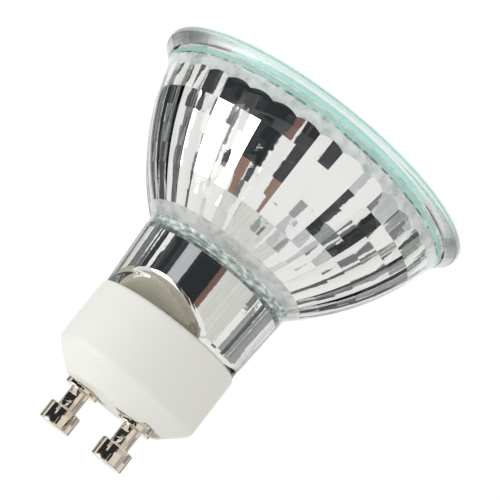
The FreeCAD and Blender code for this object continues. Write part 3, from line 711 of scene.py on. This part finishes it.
def inner_rows(turn, lean, sizes):
    """Inside of the reflector in one direction, from the seat to the end of the neck, and where its rings are."""
    rings = facet_rings(sizes)
    (top_radius, top_height), (first_radius, first_height) = rings[:2]
    half = math.pi / sizes.columns
    mouth = sizes.mouth_radius
    wanted = (mouth + sizes.facet_crown * (1 - lean ** 2)) * math.cos(lean * half) / math.cos(half)
    scallop = between(top_height, first_height, (top_radius - wanted) / (top_radius - first_radius))
    rows = [(sizes.seat_radius, sizes.seat_height), (mouth, sizes.seat_height), (mouth, scallop)]
    corners = [(wanted, scallop)] + rings[1:]
    marks = [len(rows) - 1]
    for near, far in zip(corners, corners[1:]):
        for share in (0.5, 1.0):
            corner = between(near[0], far[0], share)
            rows.append((facet_radius(corner, lean, sizes), between(near[1], far[1], share)))
        marks.append(len(rows) - 1)
    bore_top = sizes.neck_top_radius - sizes.neck_wall
    bore_end = sizes.neck_end_radius - sizes.neck_wall
    bore_start = rings[-1][1] + sizes.throat_length
    rows.append((bore_top, bore_start))

    def bore_at(z):
        return between(bore_top, bore_end, (z - bore_start) / (sizes.neck_end - bore_start))

    slant = math.hypot(sizes.flat_depth, sizes.flat_height)
    inner = sizes.neck_end_radius - sizes.flat_depth - sizes.neck_wall * slant / sizes.flat_height
    return rows + slanted_end(bore_at, turn, inner, sizes, INNER_FLAT_ROUND), marks


class LAMP_OT_reflector(bpy.types.Operator):
    """Builds the pressed glass reflector with its faceted mirror"""
    bl_idname = "lamp.reflector"
    bl_label = "Reflector"

    def execute(self, context):
        sizes, colours = scene_sizes().reflector, scene_sizes().colours
        outside = outer_line(sizes)
        neck_start = max(i for i, point in enumerate(outside) if point[1] < sizes.neck_end - NECK_LEAD)
        neck_radius, neck_height = outside[neck_start]

        def neck_at(z):
            share = (z - neck_height) / (sizes.neck_end - neck_height)
            return between(neck_radius, sizes.neck_end_radius, share)

        chord = sizes.neck_end_radius - sizes.flat_depth
        columns = []
        count = sizes.columns * FACET_STEPS
        for step in range(count):
            turn = math.tau * step / count
            lean = 2 * (step % FACET_STEPS) / FACET_STEPS - 1
            front = outside[:neck_start + 1] + slanted_end(neck_at, turn, chord, sizes, FLAT_ROUND)
            back, marks = inner_rows(turn, lean, sizes)
            columns.append(stood_up(front + back[::-1], turn))

        rows = len(columns[0])
        ring_rows = [rows - 1 - mark for mark in marks]
        mirror_from, mirror_to = len(front), ring_rows[0]
        finishes = [GLASS] * (mirror_from - 1) + [CEMENT] + [MIRROR] * (mirror_to - mirror_from)
        finishes += [GLASS] * (rows - mirror_to)
        # The land and the throat get the hazed glass with its painted glow.
        finishes[ring_rows[-1] - 1] = finishes[mirror_to] = HAZE_AND_GLOW
        seam_from, seam_to = sizes.neck_top - SEAM_ABOVE, sizes.neck_top + SEAM_BELOW + SLACK
        for row in range(neck_start):
            if seam_from < outside[row][1] and outside[row + 1][1] < seam_to:
                finishes[row] = SEAM

        def coat(row, index):
            turn = math.tau * index / count
            side = abs(math.sin(turn))
            climbs = math.sin(turn) * math.cos(turn) < 0 and side < CLIMBS_BELOW
            reach = NECK_ROWS + (EDGE_STEPS + 1 if climbs else EDGE_STEPS // 2)
            cemented = side > CEMENTED_FROM and mirror_from <= row < mirror_from + reach
            return CEMENT if cemented else finishes[row]

        shape = bmesh.new()
        verts = skin(shape, columns, True, coat)
        smooth(shape)
        for step, column in enumerate(verts):
            beside = verts[(step + 1) % count]
            for row in ring_rows:
                shape.edges.get((column[row], beside[row])).smooth = False
            if step % FACET_STEPS == 0:
                for row in range(ring_rows[-1], ring_rows[0]):
                    shape.edges.get((column[row], column[row + 1])).smooth = False
        merge(shape)
        # Three of these finishes have a painted glow: the cement behind the glass, the hazed glass and the
        # chilled glass.
        place_piece("reflector_shell", shape,
                    [pressed_glass(colours), mirror_coat(colours),
                     cast_cement(colours, "cast_cement_painted_glow", 0.12), hazed_glass_with_glow(colours),
                     flecked_glass_with_glow(colours)],
                    "reflector")
        return {"FINISHED"}


# Bead: round of its edges, and how often its inside and outside wander
BEAD_ROUND = 0.05 * MM
INSIDE_WANDER = 18.0
OUTSIDE_WANDER = 24.3


class LAMP_OT_front_glass(bpy.types.Operator):
    """Builds the front glass and the bead that holds it"""
    bl_idname = "lamp.front_glass"
    bl_label = "Front glass"

    def execute(self, context):
        sizes, colours = scene_sizes().front, scene_sizes().colours
        edge, inset = sizes.radius, sizes.radius - sizes.bevel
        profile = [(0.0, sizes.front), (inset * 0.5, sizes.front), (inset, sizes.front),
                   (edge, sizes.front + sizes.bevel), (edge, sizes.back - sizes.bevel),
                   (inset, sizes.back), (inset * 0.5, sizes.back), (0.0, sizes.back)]
        shape = bmesh.new()
        skin(shape, turned(profile, DISC_STEPS), finish=lambda row, index: 1 if 2 <= row <= 4 else 0)
        settle(shape)
        glass = [float_glass(colours), ground_edge(colours)]
        place_piece("front_disc", shape, glass, "front_glass")

        low, high = foot_of("rim_sealant") * MM, top_of("rim_sealant") * MM + sizes.bead_press
        half = (low + high) / 2
        columns = []
        for step in range(BEAD_STEPS):
            turn = math.tau * step / BEAD_STEPS
            around = Vector((math.cos(turn), math.sin(turn), 0.0))
            inner = sizes.bead_inner + sizes.bead_wander * max(noise.noise(around * INSIDE_WANDER), 0.0)
            outer = sizes.bead_outer - sizes.bead_wander * max(noise.noise(around * OUTSIDE_WANDER), 0.0)
            across = [inner + BEAD_ROUND, (inner + outer) / 2, outer - BEAD_ROUND]
            line = [(r, low) for r in across] + [(outer, half)]
            line += [(r, high) for r in across[::-1]] + [(inner, half)]
            columns.append(stood_up(line, turn))
        shape = bmesh.new()
        skin(shape, columns, True)
        settle(shape)
        place_piece("sealant_bead", shape, [silicone(colours)], "rim_sealant")
        return {"FINISHED"}


# Seat of a pin's flange: round of its corners, height of the block that cuts it, and its crease
SEAT_ROUND = 0.5 * MM
SEAT_BLOCK = 2.0 * MM
SEAT_CREASE = math.radians(40)


class LAMP_OT_ceramic_base(bpy.types.Operator):
    """Builds the ceramic base and the cement that fills it"""
    bl_idname = "lamp.ceramic_base"
    bl_label = "Ceramic base"

    def execute(self, context):
        sizes, colours = scene_sizes().base, scene_sizes().colours
        cone = sizes.top - sizes.bevel_height
        floor = sizes.top - sizes.end_wall
        edges = [(sizes.radius, sizes.bottom), (sizes.radius, cone), (sizes.end_radius, sizes.top)]
        points = [(0.0, floor), (sizes.bore_radius, floor), (sizes.bore_radius, sizes.bottom), *edges,
                  (0.0, sizes.top)]
        for corner in edges:
            points = soften(points, corner, sizes.edge_round, 8)
        shape = bmesh.new()
        skin(shape, turned(points, CERAMIC_STEPS))
        settle(shape)
        near, far = sizes.pin_offset - sizes.seat_half, sizes.radius * 1.1
        block = Matrix.Diagonal((far - near, sizes.seat_half * 2, SEAT_BLOCK, 1.0))
        cutters = []
        for side in (-1, 1):
            middle = (side * (near + far) / 2, 0.0, sizes.top - sizes.pin_sink + SEAT_BLOCK / 2)
            cutter = bmesh.new()
            bmesh.ops.create_cube(cutter, size=1.0, matrix=Matrix.Translation(middle) @ block)
            upright = [e for e in cutter.edges if abs((e.verts[0].co - e.verts[1].co).z) > SLACK]
            bmesh.ops.bevel(cutter, geom=upright, offset=SEAT_ROUND, segments=5, profile=0.5, affect="EDGES")
            cutters.append(cutter)
        shape = carve(shape, cutters)
        settle(shape, SEAT_CREASE)
        place_piece("base_ceramic", shape, [steatite(colours)], "ceramic_base")
        dress("base_cement", cast_cement(colours))
        return {"FINISHED"}


# Dimple in the face of a pin's foot, and the crease of a crimped pin
DIMPLE_RADIUS = 0.5 * MM
DIMPLE_DEPTH = 0.4 * MM
CRIMP_CREASE = math.radians(28)


def pin_line(sizes, floor, flange, shaft):
    """Outline of a pin from its swaged head inside the base to the dimple in its foot."""
    head = floor - sizes.pin_head_height
    # Radius, height and, in millimetres, the round of each corner
    corners = [(0.0, head, 0.0), (sizes.pin_head_radius, head, 0.0), (sizes.pin_head_radius, floor, 0.0),
               (sizes.pin_tail_radius, floor, 0.0), (sizes.pin_tail_radius, flange, 0.0),
               (sizes.flange_radius, flange, 0.12), (sizes.flange_radius, shaft, 0.2),
               (sizes.shaft_radius, shaft, 0.15), (sizes.shaft_radius, sizes.foot_start, 0.15),
               (sizes.foot_radius, sizes.foot_start, 0.25), (sizes.foot_radius, sizes.pin_end, 0.25),
               (DIMPLE_RADIUS, sizes.pin_end, 0.1), (0.0, sizes.pin_end - DIMPLE_DEPTH, 0.0)]
    points = [(radius, height) for radius, height, _ in corners]
    for radius, height, reach in corners:
        if reach:
            points = soften(points, (radius, height), reach * MM, 5)
    return points


def crimp_tool(sizes, shaft, centre):
    """Solid with a rounded nose that dents a pin's shaft."""
    half = (sizes.foot_start - shaft) / 2 - sizes.crimp_margin
    curve = (half ** 2 + sizes.crimp_depth ** 2) / (2 * sizes.crimp_depth)
    lean = math.asin(half / curve)
    back = 2 * sizes.shaft_radius
    nose = arc((-sizes.shaft_radius + sizes.crimp_depth - curve, (shaft + sizes.foot_start) / 2),
               curve, -lean, lean, CRIMP_STEPS)
    outline = nose + [(-back, nose[-1][1]), (-back, nose[0][1])]
    tool = bmesh.new()
    ends = [[tool.verts.new((centre + x, y, z)) for y, z in outline] for x in (-back, back)]
    for index in range(len(outline)):
        after = (index + 1) % len(outline)
        tool.faces.new((ends[0][index], ends[0][after], ends[1][after], ends[1][index]))
    for end in ends:
        tool.faces.new(end)
    bmesh.ops.recalc_face_normals(tool, faces=tool.faces)
    return tool


class LAMP_OT_contact_pins(bpy.types.Operator):
    """Builds the two contact pins with their crimped shafts"""
    bl_idname = "lamp.contact_pins"
    bl_label = "Contact pins"

    def execute(self, context):
        sizes, colours = scene_sizes().base, scene_sizes().colours
        plate = nickel_plate(colours)
        floor = sizes.top - sizes.end_wall
        flange = sizes.top - sizes.pin_sink
        shaft = flange + sizes.flange_height
        outline = pin_line(sizes, floor, flange, shaft)
        for word, side in (("left", -1), ("right", 1)):
            centre = side * sizes.pin_offset
            shape = bmesh.new()
            skin(shape, turned(outline, PIN_STEPS, (centre, 0.0)))
            settle(shape)
            shape = carve(shape, [crimp_tool(sizes, shaft, centre)])
            settle(shape, CRIMP_CREASE)
            place_piece(f"pin_{word}", shape, [plate], f"contact_pin_{word}")
            dress(f"outer_lead_{word}", plate)
        return {"FINISHED"}


# Tip of the capsule: its blunt end and its round; then how square the pinch is, and the crease of the coil
TIP_BLUNT = 0.45
TIP_RISE = 0.12 * MM
TIP_ROUND = 0.5 * MM
PINCH_SQUARE = 0.72
COIL_CREASE = math.radians(75)
# Closed end of the hollow: shares of its radius, with heights past the shoulder
HOLLOW_END = ((1.0, 0.0), (0.8, 0.7 * MM), (0.35, 1.3 * MM), (0.0, 1.5 * MM))


def capsule_ring(height, sizes):
    """Outline of the quartz at a height: round in the bulb and pressed flat in the pinch."""
    share = min(max((height - sizes.shoulder) / (sizes.pinch_start - sizes.shoulder), 0.0), 1.0)
    blend = share * share * (3 - 2 * share)
    wide = between(sizes.bulb_radius, sizes.pinch_width / 2, blend)
    thick = between(sizes.bulb_radius, sizes.pinch_thickness / 2, blend)
    power = 1.0 - PINCH_SQUARE * blend
    ring = []
    for step in range(QUARTZ_STEPS):
        turn = math.tau * step / QUARTZ_STEPS
        c, s = math.cos(turn), math.sin(turn)
        x, y = wide * math.copysign(abs(c) ** power, c), thick * math.copysign(abs(s) ** power, s)
        ring.append((x, y, height))
    return ring


def quartz_shape(sizes):
    """Quartz bulb with its sealed-off tip, its flat pinch and its hollow."""
    lean = -math.acos(sizes.tip_radius / sizes.bulb_radius)
    dome = [(0.0, sizes.tip), (sizes.tip_radius * TIP_BLUNT, sizes.tip + TIP_RISE)]
    dome += arc((0.0, sizes.dome), sizes.bulb_radius, lean, 0.0, DOME_STEPS)
    columns = turned(soften(dome, dome[2], TIP_ROUND), QUARTZ_STEPS)
    start, end = sizes.pinch_start, sizes.pinch_end
    heights = [between(sizes.shoulder, start, row / SHOULDER_ROWS) for row in range(SHOULDER_ROWS + 1)]
    heights += [between(start, end, row / PINCH_ROWS) for row in range(1, PINCH_ROWS + 1)]
    rings = [capsule_ring(height, sizes) for height in heights]
    for index, column in enumerate(columns):
        column.extend(ring[index] for ring in rings)
        column.append((0.0, 0.0, end))
    shape = bmesh.new()
    skin(shape, columns)
    settle(shape)

    hollow = sizes.bulb_radius - sizes.bulb_wall
    line = arc((0.0, sizes.dome), hollow, -math.pi / 2, 0.0, HOLLOW_STEPS)
    line += [(hollow * share, sizes.shoulder + rise) for share, rise in HOLLOW_END]
    cavity = bmesh.new()
    skin(cavity, turned(line, QUARTZ_STEPS))
    settle(cavity)
    bmesh.ops.reverse_faces(cavity, faces=cavity.faces)
    mesh = mesh_of("cavity", cavity)
    shape.from_mesh(mesh)
    bpy.data.meshes.remove(mesh)
    return shape


def coil_path(sizes):
    """Points of the coiled wire, down one leg, round the bend and up the other leg."""
    leg = sizes.coil_end - sizes.coil_bend
    bow = math.pi * sizes.coil_offset
    total = 2 * leg + bow
    steps = round(total / sizes.coil_pitch) * TURN_STEPS
    path = []
    for step in range(steps + 1):
        along = total * step / steps
        if along < leg:
            x, z, way = sizes.coil_offset, sizes.coil_end - along, 0.0
        elif along < leg + bow:
            way = (along - leg) / sizes.coil_offset
            x, z = sizes.coil_offset * math.cos(way), sizes.coil_bend - sizes.coil_offset * math.sin(way)
        else:
            x, z, way = -sizes.coil_offset, sizes.coil_bend + along - leg - bow, math.pi
        turn = math.tau * step / TURN_STEPS
        across = sizes.coil_radius * math.cos(turn)
        path.append(Vector((x + across * math.cos(way), sizes.coil_radius * math.sin(turn),
                            z - across * math.sin(way))))
    return path


def wire_shape(path, radius):
    """Round wire that follows a path."""
    columns = [[] for _ in range(WIRE_CORNERS)]
    for index, spot in enumerate(path):
        ahead = (path[min(index + 1, len(path) - 1)] - path[max(index - 1, 0)]).normalized()
        side = ahead.orthogonal().normalized()
        other = ahead.cross(side)
        for corner, column in enumerate(columns):
            turn = math.tau * corner / WIRE_CORNERS
            column.append(spot + (side * math.cos(turn) + other * math.sin(turn)) * radius)
    shape = bmesh.new()
    verts = skin(shape, columns)
    for end in (0, -1):
        shape.faces.new([column[end] for column in verts])
    settle(shape, COIL_CREASE)
    return shape


class LAMP_OT_capsule(bpy.types.Operator):
    """Builds the quartz capsule with its coil, wires and foils"""
    bl_idname = "lamp.capsule"
    bl_label = "Quartz capsule"

    def execute(self, context):
        sizes, colours = scene_sizes().capsule, scene_sizes().colours
        place_piece("quartz_capsule", quartz_shape(sizes), [fused_quartz(colours)], "capsule_glass")
        wire = drawn_metal("drawn_tungsten", colours.tungsten, 0.4, 0.1)
        coil = wire_shape(coil_path(sizes), sizes.coil_wire)
        place_piece("tungsten_coil", coil, [wire], "filament")
        rod = drawn_metal("drawn_molybdenum", colours.molybdenum, 0.3, 0.15)
        foil = drawn_metal("rolled_molybdenum_foil", colours.molybdenum, 0.22, 0.3)
        dress("filament_support", rod)
        for word in ("left", "right"):
            dress(f"inner_lead_{word}", rod)
            dress(f"seal_foil_{word}", foil)
        return {"FINISHED"}


WHITE = rgba(linear("#FFFFFF"))


def seen_rays(tree):
    """Picks the rays of the camera, of mirrors and of glass, which see the white studio, from those of light."""
    rays = add(tree, "LightPath")
    seen = add(tree, "Math", {"operation": "MAXIMUM"},
               links={0: rays.outputs["Is Camera Ray"], 1: rays.outputs["Is Glossy Ray"]})
    either = add(tree, "Math", {"operation": "MAXIMUM"},
                 links={0: seen, 1: rays.outputs["Is Transmission Ray"]})
    return either


def studio_paper():
    """White studio paper: white to the eye, with the lamp's soft shadow left on it."""
    material, tree, spot = new_material("white_studio_paper")
    fibre = add(tree, "TexNoise", values={"Scale": per_mm(0.8), "Detail": 3.0}, links={"Vector": spot})
    bump = add(tree, "Bump", values={"Strength": 0.05, "Distance": 0.05 * MM}, links={"Height": fibre})
    paper = add(tree, "BsdfDiffuse", values={"Color": rgba(linear("#A0A0A0"))}, links={"Normal": bump})
    plain = add(tree, "BsdfDiffuse", values={"Color": rgba(linear("#EDEDED"))})
    glow = add(tree, "Emission", values={"Color": WHITE, "Strength": 0.75})
    white = add(tree, "AddShader", links={0: paper, 1: glow})
    shader = add(tree, "MixShader", links={0: seen_rays(tree), 1: plain, 2: white})
    return finish_material(material, shader)


def heading(turn, rise):
    """Direction from the lamp at an azimuth and an elevation."""
    return Vector((math.sin(turn) * math.cos(rise), -math.cos(turn) * math.cos(rise), math.sin(rise)))


CARD_STOCK = {
    "black": "#34373A", "slate": "#575A5D", "grey": "#7C8081", "stone": "#A2A5A5", "pale": "#CBCDD2",
    "white": "#E4E4E1", "brown": "#84655F", "tan": "#997A6E",
}
# Cards that stand on the floor, for the neck and the pins: azimuths from the camera, distance, height, stock
STANDING_CARDS = {
    "card_low_black": ((-4, 37), 200, 37, "black"),
    "card_low_brown": ((-14, -4), 200, 27, "brown"),
    "card_low_white": ((-74, -14), 200, 24, "white"),
    "card_low_sky": ((37, 61), 200, 24, "pale"),
    "card_low_left": ((61, 88), 110, 42, "black"),
    "card_low_olive": ((88, 93), 110, 36, "slate"),
    "card_low_stripe": ((105, 117), 110, 30, "black"),
    "card_low_thin": ((120, 125), 110, 30, "black"),
    "card_low_back": ((129, 148), 110, 30, "grey"),
    "card_low_behind": ((166, 194), 110, 42, "grey"),
    "card_low_shade": ((-86, -74), 110, 15, "grey"),
    "card_low_blue": ((-109, -100), 110, 30, "slate"),
    "card_low_pale": ((-119, -111), 110, 30, "stone"),
    "card_low_slate": ((-144, -120), 110, 30, "stone"),
}
# Cards that hang higher, for the bowl: azimuths from the camera, elevations, stock
HANGING_CARDS = {
    "card_row_black": ((10, 50), (8, 20), "black"),
    "card_row_middle": ((50, 62), (5, 14), "black"),
    "card_row_left": ((62, 98), (-1, 13), "black"),
    "card_row_edge": ((-9, 2), (8, 20), "black"),
    "card_row_brown": ((2, 8), (8, 20), "brown"),
    "card_row_pale": ((-90, -54), (3, 14), "pale"),
    "card_row_grey": ((-120, -90), (-2, 8), "stone"),
    "card_tall_black": ((14, 33), (25, 44), "black"),
    "card_left_low": ((33, 46), (21, 31), "black"),
    "card_left_middle": ((33, 48), (31, 39), "black"),
    "card_left_top": ((40, 49), (39, 47), "slate"),
    "card_left_patch": ((54, 64), (39, 44), "slate"),
    "card_tall_brown": ((18, 38), (44, 51), "tan"),
    "card_high_brown": ((29, 42), (51, 58), "tan"),
    "card_high_left": ((42, 51), (48, 56), "grey"),
    "card_left_small": ((83, 89), (13, 21), "black"),
    "card_right_dark": ((-79, -57), (20, 43), "black"),
    "card_right_grey": ((-102, -88), (22, 37), "grey"),
    "card_right_olive": ((-84, -79), (22, 37), "grey"),
    "card_right_high": ((-61, -40), (41, 48), "stone"),
    "card_right_pale": ((-90, -60), (43, 51), "pale"),
    "card_high_blue": ((-34, -16), (59, 67), "stone"),
    "card_high_pale": ((-60, -36), (56, 64), "pale"),
    "card_high_grey": ((-12, -4), (61, 68), "grey"),
    "card_middle_pale": ((-56, -30), (49, 55), "pale"),
    "card_far_left": ((116, 124), (-2, 28), "grey"),
    "card_left_side": ((124, 152), (-2, 16), "stone"),
    "card_left_flank": ((124, 152), (16, 34), "slate"),
    "card_overhead": ((-180, 180), (79, 90), "slate"),
    "card_far_right": ((-152, -130), (-2, 13), "stone"),
    "card_right_flank": ((-152, -131), (13, 28), "slate"),
}
# Wide cards farther off, behind the hanging ones: azimuths from the camera, elevations, stock
BACKING_CARDS = {
    "card_wide_high": ((-75, 75), (60, 78), "white"),
}
CARD_DISTANCE = 200 * MM
BACKING_DISTANCE = 240 * MM
# Mirrors that the cards are seen in: radius of the neck, then radius and height of the bowl's facets
NECK_REACH = 12 * MM
BOWL_REACH = 20 * MM
BOWL_HEIGHT = 8 * MM
# Faces of a card, across and up
CARD_COLUMNS = 12
CARD_ROWS = 4


def card_paint(stock, code):
    """Matt paint on a card, brushed on in uneven strokes."""
    material, tree, spot = new_material(f"matt_{stock}_paint")
    brush = add(tree, "TexNoise", values={"Scale": per_mm(12.0), "Detail": 3.0}, links={"Vector": spot})
    tone = add(tree, "MapRange", values={"From Min": 0.3, "From Max": 0.7, "To Min": 0.9, "To Max": 1.1},
               links={"Value": brush})
    paint = add(tree, "Emission", values={"Color": rgba(linear(code))}, links={"Strength": tone})
    return finish_material(material, paint)


def fanned(ends, parts):
    """Angles in radians from one end to the other, which are in degrees."""
    return [math.radians(between(*ends, part / parts)) for part in range(parts + 1)]


def hang_card(name, columns, paint):
    """Hangs a curved card that neither the camera nor the light sees, only mirrors and glass."""
    high = CARD_ROWS + 1
    corners = [high * column + row for column in range(CARD_COLUMNS) for row in range(CARD_ROWS)]
    faces = [(corner, corner + 1, corner + high + 1, corner + high) for corner in corners]
    mesh = bpy.data.meshes.new(name)
    mesh.from_pydata([spot for column in columns for spot in column], [], faces)
    mesh.materials.append(paint)
    card = link_object(name, mesh)
    card.visible_camera = card.visible_diffuse = card.visible_shadow = card.visible_volume_scatter = False


def hang_cards(facing):
    """Sets the standing and the hanging cards around the lamp."""
    paints = {stock: card_paint(stock, code) for stock, code in CARD_STOCK.items()}
    for name, (sideways, distance, height, stock) in STANDING_CARDS.items():
        columns = []
        for turn in fanned(sideways, CARD_COLUMNS):
            foot = heading(facing + turn / 2, 0.0) * NECK_REACH + heading(facing + turn, 0.0) * distance * MM
            columns.append([(foot.x, foot.y, height * MM * row / CARD_ROWS) for row in range(CARD_ROWS + 1)])
        hang_card(name, columns, paints[stock])
    hung = [(name, CARD_DISTANCE, *card) for name, card in HANGING_CARDS.items()]
    hung += [(name, BACKING_DISTANCE, *card) for name, card in BACKING_CARDS.items()]
    for name, distance, sideways, upwards, stock in hung:
        columns = []
        for turn in fanned(sideways, CARD_COLUMNS):
            mirror = heading(facing + turn / 2, 0.0) * BOWL_REACH + Vector((0.0, 0.0, BOWL_HEIGHT))
            lifts = fanned(upwards, CARD_ROWS)
            columns.append([mirror + heading(facing + turn, lift) * distance for lift in lifts])
        hang_card(name, columns, paints[stock])


# Half the floor's width in metres, and the camera's sensor in millimetres
FLOOR_REACH = 6.0
SENSOR_WIDTH = 36.0


class LAMP_OT_stage(bpy.types.Operator):
    """Sets the floor, the white room, the large lamp, the cards and the camera"""
    bl_idname = "lamp.stage"
    bl_label = "Stage"

    def execute(self, context):
        settings = scene_sizes().stage
        scene = context.scene
        shape = bmesh.new()
        bmesh.ops.create_grid(shape, x_segments=8, y_segments=8, size=FLOOR_REACH)
        floor = link_object("studio_floor", mesh_of("studio_floor", shape, [studio_paper()]))
        floor.location.z = -settings.floor_drop

        scene.world = bpy.data.worlds.new("white_room")
        scene.world.use_nodes = True
        tree = scene.world.node_tree
        tree.nodes.clear()
        light = add(tree, "Background", values={"Color": WHITE, "Strength": settings.world_level})
        white = add(tree, "Background", values={"Color": WHITE, "Strength": 1.0})
        room = add(tree, "MixShader", links={0: seen_rays(tree), 1: light, 2: white})
        add(tree, "OutputWorld", links={"Surface": room})

        back = heading(settings.azimuth, settings.elevation)
        level = (-back).cross(Vector((0, 0, 1))).normalized()
        upright = level.cross(-back)
        right = level * math.cos(settings.roll) + upright * math.sin(settings.roll)
        up = upright * math.cos(settings.roll) - level * math.sin(settings.roll)
        target = Vector((0, 0, settings.target_height)) + right * settings.frame_right + up * settings.frame_up
        view = bpy.data.cameras.new("photo_camera")
        view.sensor_width = SENSOR_WIDTH
        view.lens = settings.lens
        view.clip_start = 10 * MM
        camera = link_object("photo_camera", view)
        turn = Matrix((right, up, back)).transposed().to_4x4()
        camera.matrix_world = Matrix.Translation(target + back * settings.distance) @ turn
        scene.camera = camera

        lamp = bpy.data.lights.new("key_panel", "AREA")
        lamp.shape = "RECTANGLE"
        lamp.size, lamp.size_y = settings.key_width, settings.key_height
        lamp.energy = settings.key_power
        key = link_object("key_panel", lamp)
        away = heading(settings.azimuth + settings.key_azimuth, settings.key_elevation)
        key.location = away * settings.key_distance
        key.rotation_euler = away.to_track_quat("Z", "Y").to_euler()
        key.visible_camera = False
        hang_cards(settings.azimuth)

        scene.view_settings.view_transform = "Standard"
        return {"FINISHED"}


class LampSettings(bpy.types.PropertyGroup):
    """Everything that the sidebar shows for the lamp."""
    reflector: bpy.props.PointerProperty(type=ReflectorSizes, name="Reflector", description="Reflector sizes")
    front: bpy.props.PointerProperty(type=FrontSizes, name="Front glass", description="Front glass sizes")
    base: bpy.props.PointerProperty(type=BaseSizes, name="Base", description="Base and pin sizes")
    capsule: bpy.props.PointerProperty(type=CapsuleSizes, name="Capsule", description="Capsule sizes")
    colours: bpy.props.PointerProperty(type=LampColours, name="Colours", description="Material colours")
    stage: bpy.props.PointerProperty(type=StageSettings, name="Stage", description="Camera, light and floor")


OPERATORS = (LAMP_OT_reflector, LAMP_OT_front_glass, LAMP_OT_ceramic_base, LAMP_OT_contact_pins,
             LAMP_OT_capsule, LAMP_OT_stage)


class LAMP_PT_sidebar(bpy.types.Panel):
    """Lists the lamp's pieces and settings"""
    bl_idname = "LAMP_PT_sidebar"
    bl_label = "Reflector Lamp"
    bl_space_type = "VIEW_3D"
    bl_region_type = "UI"
    bl_category = "Lamp"

    def draw(self, context):
        column = self.layout.column()
        for operator in OPERATORS:
            column.operator(operator.bl_idname)
        for group in LampSettings.__annotations__:
            box = self.layout.box()
            values = getattr(context.scene.reflector_lamp, group)
            for key in values.__annotations__:
                box.prop(values, key)


CLASSES = (ReflectorSizes, FrontSizes, BaseSizes, CapsuleSizes, LampColours, StageSettings, LampSettings,
           *OPERATORS, LAMP_PT_sidebar)


def register():
    for item in CLASSES:
        bpy.utils.register_class(item)
    bpy.types.Scene.reflector_lamp = bpy.props.PointerProperty(
        type=LampSettings, name="Reflector lamp", description="Settings of the lamp")


def unregister():
    del bpy.types.Scene.reflector_lamp
    for item in reversed(CLASSES):
        bpy.utils.unregister_class(item)


def main():
    register()
    bpy.ops.lamp.reflector()
    bpy.ops.lamp.front_glass()
    bpy.ops.lamp.ceramic_base()
    bpy.ops.lamp.contact_pins()
    bpy.ops.lamp.capsule()
    bpy.ops.lamp.stage()


if __name__ == "__main__":
    main()
